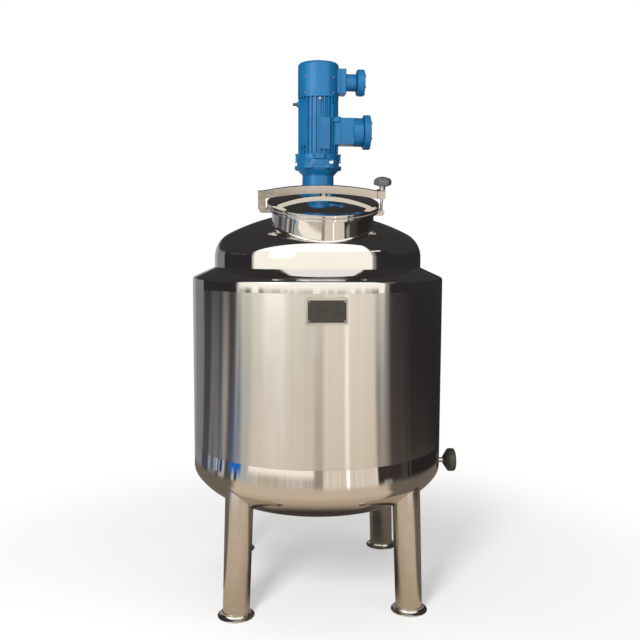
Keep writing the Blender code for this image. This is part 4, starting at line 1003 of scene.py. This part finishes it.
def make_gauge_dial():
    """Scale marks, plain numbers and a needle on the thermometer's dial, which faces +X."""
    low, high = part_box("thermometer_dial")
    radius = (high.z - low.z) / 2.0
    centre = Vector((high.x + PRINT_GAP, (low.y + high.y) / 2.0, (low.z + high.z) / 2.0))
    bm = bmesh.new()

    def on_ray(angle, share, aside, out):
        """Point along, beside and over a ray; angle 0 is up and turns clockwise as seen from +X."""
        direction = Vector((0.0, math.sin(angle), math.cos(angle)))
        side = Vector((0.0, math.cos(angle), -math.sin(angle)))
        return centre + direction * (share * radius) + side * aside + Vector((out, 0.0, 0.0))

    def bar(angle, inner, outer, half):
        corners = oblong(inner, outer, -half, half)
        stack(bm, [[on_ray(angle, x, y, out) for x, y in corners] for out in (0.0, PRINT_THICKNESS)])

    for i in range(DIAL_STEPS + 1):
        if i % STEPS_A_NUMBER:
            bar(DIAL_START + DIAL_STEP * i, MARK_INNER, MARK_OUTER, MARK_HALF)
        else:
            bar(DIAL_START + DIAL_STEP * i, LONG_MARK_INNER, MARK_OUTER, LONG_MARK_HALF)
    bar(NEEDLE_ANGLE, NEEDLE_TAIL, NEEDLE_TIP, NEEDLE_HALF)
    piece("dial_marks", bm, INK, "tank")

    for i in range(0, DIAL_STEPS + 1, STEPS_A_NUMBER):
        number = NUMBER_STEP * i // STEPS_A_NUMBER
        curve = bpy.data.curves.new("dial_number", "FONT")
        curve.body = str(number)
        curve.size = radius * NUMBER_HEIGHT
        curve.extrude = NUMBER_THICKNESS
        curve.align_x = "CENTER"
        curve.align_y = "CENTER"
        word = linked("dial_number", curve)
        graph = bpy.context.evaluated_depsgraph_get()
        mesh = bpy.data.meshes.new_from_object(word.evaluated_get(graph))
        bpy.data.objects.remove(word)
        place = Matrix.Translation(on_ray(DIAL_START + DIAL_STEP * i, NUMBER_RING, 0.0, PRINT_GAP))
        mesh.transform(place @ Matrix.Rotation(QUARTER, 4, "Z") @ Z_TO_FRONT)
        mesh.materials.clear()
        mesh.materials.append(INK)
        obj = linked("dial_number_%d" % number, mesh)
        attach(obj, "tank")


# Carried-over nodes

# Castings and turned pieces: the radius on their edges
SOFTENED_NODES = {
    "motor_stool": 0.0014,
    "reducer_bell": 0.0014,
    "reducer_housing": 0.0012,
    "motor_flange": 0.0012,
    "motor_frame": 0.0007,
    "fan_cover": 0.0008,
    "terminal_box": 0.0020,
    "terminal_box_cover": 0.0020,
    "fan_box": 0.0020,
    "fan_box_cover": 0.0020,
    "oil_sight_glass": 0.0010,
    "lid_stud": 0.0008,
    "star_knob": 0.0015,
    "drive_pad": 0.0010,
    "swing_bolt": 0.0006,
    "thermometer_case": 0.0012,
    "thermometer_stem": 0.0008,
    "thermometer_socket": 0.0010,
    "motor_lift_bolt": 0.0008,
    "nameplate_holder": 0.0003,
}
NODE_BODIES = {"lid_stud": "lid", "star_knob": "knob", "swing_bolt": "bolt"}
DARK_NODES = ("thermometer_case", "motor_lift_bolt")


def soften(name, width):
    """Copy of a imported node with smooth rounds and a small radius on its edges."""
    node = NODES[name]
    bm = bmesh.new()
    bm.from_mesh(node.data)
    bmesh.ops.remove_doubles(bm, verts=bm.verts, dist=SAME_PACKED_POINT)
    bmesh.ops.dissolve_limit(bm, angle_limit=math.radians(0.5), verts=bm.verts, edges=bm.edges)
    body = NODE_BODIES.get(name, "tank")
    obj = piece(name + "_finished", bm, node.data.materials[0], body, (name,), 32.0)
    rounded(obj, width, 2)


def finish_nodes():
    finishes = {
        "brushed_steel": SATIN,
        "mirror_steel": MIRROR,
        "gasket_rubber": RUBBER,
        "blue_paint": ENAMEL,
        "knob_plastic": KNOB,
        "plate_metal": PLATE,
        "dial_white": DIAL,
        "sight_glass": GLASS,
    }
    for name, obj in NODES.items():
        obj.data.materials.clear()
        obj.data.materials.append(DARK_METAL if name in DARK_NODES else finishes[SLOTS[name]])


# Stage

BACKDROP_WHITE = (1.0, 1.0, 1.0, 1.0)
WORLD_LIGHT = 0.20

# Floor: its fade is two distances from the axis and the share of plain white at each
FLOOR_REACH = 30.0
FLOOR_TONE = (0.86, 0.86, 0.855, 1.0)
FLOOR_FADE = (0.7, 2.0, 0.45, 1.0)

# Dome of studio cards; azimuths and elevations are in degrees, and azimuth 0 is the front
DOME_R = 9.0
DOME_Z = 1.0
FRONT_LEFT = -76.0
FRONT_RIGHT = 55.0
ROOF_SLOPE = 1.73

# Studio cards round the tank: from and to azimuth in degrees, softness, and tone
CARDS = (
    (-150.0, -126.0, 3.0, (0.27, 0.275, 0.28)),
    (-126.0, -95.0, 1.5, (0.085, 0.088, 0.118)),
    (-112.0, -100.0, 2.0, (0.26, 0.255, 0.26)),
    (-94.5, -88.5, 1.5, (0.62, 0.54, 0.49)),
    (-87.5, -79.2, 1.2, (0.11, 0.105, 0.09)),
    (-78.6, -76.6, 0.4, (0.72, 0.72, 0.65)),
    (-74.0, -57.0, 4.0, (0.50, 0.50, 0.445)),
    (-76.2, -73.2, 0.5, (0.05, 0.05, 0.045)),
    (-60.0, -12.0, 5.0, (0.655, 0.58, 0.495)),
    (-53.0, -33.0, 5.0, (0.58, 0.49, 0.395)),
    (-13.0, 1.0, 4.0, (0.60, 0.515, 0.42)),
    (-7.0, 0.0, 1.0, (0.38, 0.315, 0.255)),
    (0.5, 46.5, 1.0, (0.84, 0.73, 0.605)),
    (18.7, 21.3, 0.6, (1.55, 1.44, 1.27)),
    (45.6, 51.3, 1.0, (0.06, 0.056, 0.042)),
    (51.6, 58.0, 1.2, (0.34, 0.32, 0.28)),
    (58.6, 76.0, 1.5, (0.072, 0.06, 0.056)),
    (75.0, 172.0, 2.0, (0.026, 0.024, 0.024)),
    (79.0, 80.6, 0.5, (0.085, 0.08, 0.078)),
)

# Tones of the rest of the dome and of the ground
BACK_WALL = (0.46, 0.48, 0.52)
ROOF = (0.045, 0.042, 0.043)
OVERHEAD = (0.16, 0.148, 0.155)
CREAM = (1.28, 1.22, 1.08)
SMEARS = (0.72, 0.69, 0.58)
DARK_SMEARS = (0.10, 0.10, 0.075)
SIDE_WALL = (0.030, 0.028, 0.030)
SKY = (1.45, 1.45, 1.45)
SOFT_BOX_TONE = (2.9, 2.95, 3.0)
SQUARES_TONE = (0.17, 0.165, 0.17)
# Ground near the tank: its brown tone with painted shade from the roof, darker nearer the tank
ROOF_SHADED_GROUND = (0.70, 0.565, 0.425)
DEEPER_SHADED_GROUND = (0.56, 0.44, 0.31)
# Painted shadow of the tank on the ground that the metal sees
TANK_SHADOW_ON_GROUND = (0.055, 0.045, 0.04)
BEHIND_TANK = (0.115, 0.092, 0.078)
GROUND_GAIN = (1.14, 1.15, 1.16)
SPOT_TONES = ((0.03, 0.04, 0.11), (0.50, 0.56, 0.62))

# Ranges on the dome: from, to and softness, by azimuth, and by elevation where there is a second one
DARK_SMEARS_AT = ((-74.0, -52.0, 3.0), (43.0, 52.0, 2.0))
SIDES = ((-126.0, FRONT_LEFT - 2.0, 1.0), (FRONT_RIGHT + 6.0, 172.0, 1.0))
LEFT_TUBE = ((-118.0, -80.0, 0.5), (15.6, 16.8, 0.3))
RIGHT_TUBE = ((56.0, 69.0, 0.8), (23.0, 25.6, 0.5))
SQUARES = ((-114.0, -86.0, 0.5), (9.0, 12.5, 0.5))
SOFT_BOX = ((-54.0, -32.0, 5.0), (5.0, 34.0, 3.0))

# Cards on the ground: ranges of azimuth and of distance from the axis, and tone
GROUND_CARDS = (
    ((-62.0, -7.0, 1.5), (2.35, 3.1, 0.12), (1.20, 1.11, 0.96)),
    ((-82.0, -69.5, 0.8), (2.25, 3.2, 0.2), (0.02, 0.17, 0.62)),
    ((46.0, 69.0, 1.0), (2.15, 2.75, 0.03), (0.045, 0.034, 0.03)),
)
SPOTTED_CARD = ((-112.0, -88.0, 0.5), (2.15, 2.9, 0.03))

# Lamps: place, width, height and power
LAMP_TARGET_Z = 1.1
LAMPS = {
    "key": ((-1.5, -3.3, 2.9), 1.0, 1.6, 205.0),
    "fill": ((3.2, -2.2, 2.4), 2.4, 2.4, 14.0),
    "top": ((0.0, 0.6, 4.4), 3.0, 3.0, 60.0),
}


def stage_piece(name, bm, material):
    obj = linked(name, mesh_from(name, bm, material))
    return obj


def flat_disc(name, radius, z, material):
    bm = bmesh.new()
    bmesh.ops.create_circle(bm, cap_ends=True, segments=64, radius=radius)
    bmesh.ops.translate(bm, vec=(AXIS.x, AXIS.y, z), verts=bm.verts)
    return stage_piece(name, bm, material)


def seen_only_in_metal(obj):
    """Show a studio card in reflections only, so that it neither lights nor hides anything."""
    obj.visible_camera = False
    obj.visible_diffuse = False
    obj.visible_shadow = False
    obj.visible_volume_scatter = False


def glow_material(name):
    mat = bpy.data.materials.new(name)
    mat.use_nodes = True
    tree = mat.node_tree
    tree.nodes.clear()
    out = tree.nodes.new("ShaderNodeOutputMaterial")
    glow = tree.nodes.new("ShaderNodeEmission")
    tree.links.new(glow.outputs[0], out.inputs["Surface"])
    return mat, tree, glow


def from_axis(tree):
    """How far a point is to the right, to the front and in all from the tank's axis, and its height."""
    x, y, z = split_xyz(tree, tree.nodes.new("ShaderNodeNewGeometry").outputs["Position"])
    right = maths(tree, "SUBTRACT", x, AXIS.x)
    front = maths(tree, "SUBTRACT", AXIS.y, y)
    level = maths(tree, "SQRT", maths(tree, "ADD", times(tree, right, right), times(tree, front, front)))
    return right, front, level, z


def directions(tree):
    """Azimuth and elevation in degrees, steepness towards the front, and distance from the axis."""
    right, front, level, z = from_axis(tree)
    above = maths(tree, "SUBTRACT", z, DOME_Z)
    azimuth = maths(tree, "DEGREES", maths(tree, "ARCTAN2", right, front))
    elevation = maths(tree, "DEGREES", maths(tree, "ARCTAN2", above, level))
    slope = maths(tree, "DIVIDE", above, maths(tree, "MAXIMUM", front, 0.01))
    return azimuth, elevation, slope, level


def along(tree, azimuth, scale, offset=0.0):
    """Coordinates that change with the azimuth alone, for streaks that run up and down."""
    return join_xyz(tree, times(tree, azimuth, scale), offset, 0.0)


def card_tones(tree, azimuth):
    """Tone of the cards at the height of the tank, with fine streaks in them."""
    color = BACK_WALL
    for start, end, soft, tone in CARDS:
        color = mixed(tree, band(tree, azimuth, start, end, soft), color, tone)
    fine = rise(tree, noise(tree, along(tree, azimuth, 0.42), 1.0, 5.0, 0.75), 0.30, 0.70, 0.72, 1.12)
    return mixed(tree, 1.0, color, join_xyz(tree, fine, fine, fine), "MULTIPLY")


def patch(tree, azimuth, height, across, up):
    """One inside a range of azimuth and of height, nought outside."""
    return times(tree, band(tree, azimuth, *across), band(tree, height, *up))


def either(tree, azimuth, first, second):
    return maths(tree, "MAXIMUM", band(tree, azimuth, *first), band(tree, azimuth, *second))


def make_dome():
    """Light and dark cards round the tank, as one dome that only the metal sees."""
    mat, tree, glow = glow_material("surroundings")
    azimuth, elevation, slope, _ = directions(tree)
    front = band(tree, azimuth, FRONT_LEFT, FRONT_RIGHT, 1.0)
    smears = rise(tree, noise(tree, along(tree, azimuth, 0.11, 7.0), 1.0, 5.0, 0.65), 0.46, 0.60)
    dark_share = times(tree, either(tree, azimuth, *DARK_SMEARS_AT), 0.8)
    smears = mixed(tree, smears, mixed(tree, dark_share, SMEARS, DARK_SMEARS), CREAM)
    cream = mixed(tree, rise(tree, elevation, -1.2, 1.0), smears, CREAM)
    lift = times(tree, front, rise(tree, elevation, -3.9, -2.6))
    color = mixed(tree, lift, card_tones(tree, azimuth), cream)
    sides = times(tree, either(tree, azimuth, *SIDES), rise(tree, elevation, -3.6, -2.6))
    color = mixed(tree, sides, color, SIDE_WALL)

    upper_side = times(tree, rise(tree, elevation, 22.0, 30.0), maths(tree, "SUBTRACT", 1.0, front))
    color = mixed(tree, upper_side, color, ROOF)
    squares = rise(tree, maths(tree, "FRACT", times(tree, azimuth, 0.125)), 0.30, 0.34)
    squares = times(tree, patch(tree, azimuth, elevation, *SQUARES), squares)
    color = mixed(tree, squares, color, SQUARES_TONE)
    left_tube = patch(tree, azimuth, elevation, *LEFT_TUBE)
    right_tube = patch(tree, azimuth, elevation, *RIGHT_TUBE)
    color = mixed(tree, maths(tree, "MAXIMUM", left_tube, right_tube), color, SKY)

    color = mixed(tree, times(tree, front, rise(tree, elevation, 20.0, 30.0)), color, SKY)
    color = mixed(tree, patch(tree, azimuth, elevation, *SOFT_BOX), color, SOFT_BOX_TONE)
    steep = rise(tree, slope, ROOF_SLOPE - 0.06, ROOF_SLOPE + 0.06)
    color = mixed(tree, times(tree, steep, rise(tree, elevation, 8.0, 13.0)), color, ROOF)
    color = mixed(tree, rise(tree, elevation, 66.0, 76.0), color, OVERHEAD)
    wire(tree, color, glow.inputs["Color"])

    bm = bmesh.new()
    bmesh.ops.create_uvsphere(bm, u_segments=96, v_segments=48, radius=DOME_R)
    bmesh.ops.translate(bm, vec=(AXIS.x, AXIS.y, DOME_Z), verts=bm.verts)
    seen_only_in_metal(stage_piece("surroundings", bm, mat))


def make_ground_card():
    """Ground round the tank, as one disc that only the metal sees, with painted shade near the tank and a painted
    shadow of the tank under it.
    """
    mat, tree, glow = glow_material("ground_card")
    azimuth, _, _, level = directions(tree)
    front = band(tree, azimuth, FRONT_LEFT, FRONT_RIGHT, 4.0)
    color = card_tones(tree, azimuth)
    color = mixed(tree, front, color, mixed(tree, 1.0, color, GROUND_GAIN, "MULTIPLY"))
    for across, away, tone in GROUND_CARDS:
        color = mixed(tree, patch(tree, azimuth, level, across, away), color, tone)
    spots = rise(tree, noise(tree, along(tree, azimuth, 0.33, 3.0), 1.0, 1.0), 0.48, 0.54)
    spotted = patch(tree, azimuth, level, *SPOTTED_CARD)
    color = mixed(tree, spotted, color, mixed(tree, spots, *SPOT_TONES))
    # Painted shade from the roof on the ground within 2 m of the axis, deepest nearest the tank, and darker behind
    # it
    near = mixed(tree, rise(tree, level, 0.5, 1.2), DEEPER_SHADED_GROUND, ROOF_SHADED_GROUND)
    near = mixed(tree, times(tree, maths(tree, "SUBTRACT", 1.0, front), 0.88), near, BEHIND_TANK)
    # Painted shadow of the tank: the darkest tone, right under it
    near = mixed(tree, rise(tree, level, 0.22, 0.52), TANK_SHADOW_ON_GROUND, near)
    color = mixed(tree, rise(tree, level, 2.0, 2.12), near, color)
    wire(tree, color, glow.inputs["Color"])
    seen_only_in_metal(flat_disc("ground_card", DOME_R, 0.0015, mat))


def make_floor():
    """Pale floor that keeps the tank's shadow and runs out into the white backdrop."""
    mat, tree, shader = new_material("pale_floor")
    shader.inputs["Base Color"].default_value = FLOOR_TONE
    shader.inputs["Roughness"].default_value = 0.9
    shader.inputs["Specular IOR Level"].default_value = 0.1
    glow = tree.nodes.new("ShaderNodeEmission")
    glow.inputs["Color"].default_value = BACKDROP_WHITE
    level = from_axis(tree)[2]
    blend = tree.nodes.new("ShaderNodeMixShader")
    wire(tree, rise(tree, level, *FLOOR_FADE), blend.inputs["Fac"])
    tree.links.new(shader.outputs[0], blend.inputs[1])
    tree.links.new(glow.outputs[0], blend.inputs[2])
    tree.links.new(blend.outputs[0], tree.nodes["Material Output"].inputs["Surface"])
    flat_disc("floor", FLOOR_REACH, 0.0, mat)


def make_world():
    world = bpy.data.worlds.new("studio")
    bpy.context.scene.world = world
    world.use_nodes = True
    tree = world.node_tree
    background = tree.nodes["Background"]
    background.inputs["Color"].default_value = BACKDROP_WHITE
    path = tree.nodes.new("ShaderNodeLightPath")
    seen = maths(tree, "MAXIMUM", path.outputs["Is Camera Ray"], path.outputs["Is Glossy Ray"])
    seen = maths(tree, "MAXIMUM", seen, path.outputs["Is Transmission Ray"])
    strength = maths(tree, "ADD", times(tree, seen, 1.0 - WORLD_LIGHT), WORLD_LIGHT)
    wire(tree, strength, background.inputs["Strength"])


def make_lamp(name, place, width, height, power):
    lamp = bpy.data.lights.new(name, "AREA")
    lamp.shape = "RECTANGLE"
    lamp.size = width
    lamp.size_y = height
    lamp.energy = power
    obj = linked(name, lamp)
    obj.location = place
    direction = Vector((AXIS.x, AXIS.y, LAMP_TARGET_Z)) - Vector(place)
    obj.rotation_euler = direction.to_track_quat("-Z", "Y").to_euler()
    obj.visible_camera = False
    obj.visible_glossy = False


def make_camera():
    a = CAMERA_AZIMUTH
    place = AXIS + Vector((math.sin(a) * CAMERA_DISTANCE, -math.cos(a) * CAMERA_DISTANCE, CAMERA_HEIGHT))
    heading = a + CAMERA_YAW
    level = math.cos(CAMERA_TILT)
    forward = Vector((-math.sin(heading) * level, math.cos(heading) * level, -math.sin(CAMERA_TILT)))
    right = forward.cross(Vector((0.0, 0.0, 1.0))).normalized()
    up = right.cross(forward)
    turn = Matrix.Rotation(CAMERA_ROLL, 3, -forward)
    right = turn @ right
    up = turn @ up
    data = bpy.data.cameras.new("camera")
    data.lens = CAMERA_LENS
    data.sensor_width = CAMERA_SENSOR
    camera = linked("camera", data)
    camera.matrix_world = Matrix.Translation(place) @ Matrix((right, up, -forward)).transposed().to_4x4()
    bpy.context.scene.camera = camera


def main():
    make_camera()
    make_world()
    make_floor()
    make_dome()
    make_ground_card()
    for name, settings in LAMPS.items():
        make_lamp(name, *settings)
    finish_nodes()
    for name, width in SOFTENED_NODES.items():
        soften(name, width)
    make_wall()
    make_shoulder()
    make_bottom()
    make_head()
    make_neck()
    make_neck_fillet()
    make_lid()
    for name, azimuth in LEG_AZIMUTHS.items():
        make_leg(name, azimuth)
    make_beam()
    make_bracket("hinge_ears", HINGE, EAR_R, EAR_INNER_Y, EAR_OUTER_Y, "hinge_bracket")
    make_bracket("bolt_ears", SWING, LUG_R, LUG_INNER_Y, LUG_OUTER_Y, "bolt_bracket")
    make_drive_bolts()
    make_cast_pads()
    make_knob_sleeve()
    make_nameplate()
    make_gauge_dial()
    bpy.context.scene.view_settings.view_transform = "Standard"


main()

bpy.context.view_layer.update()
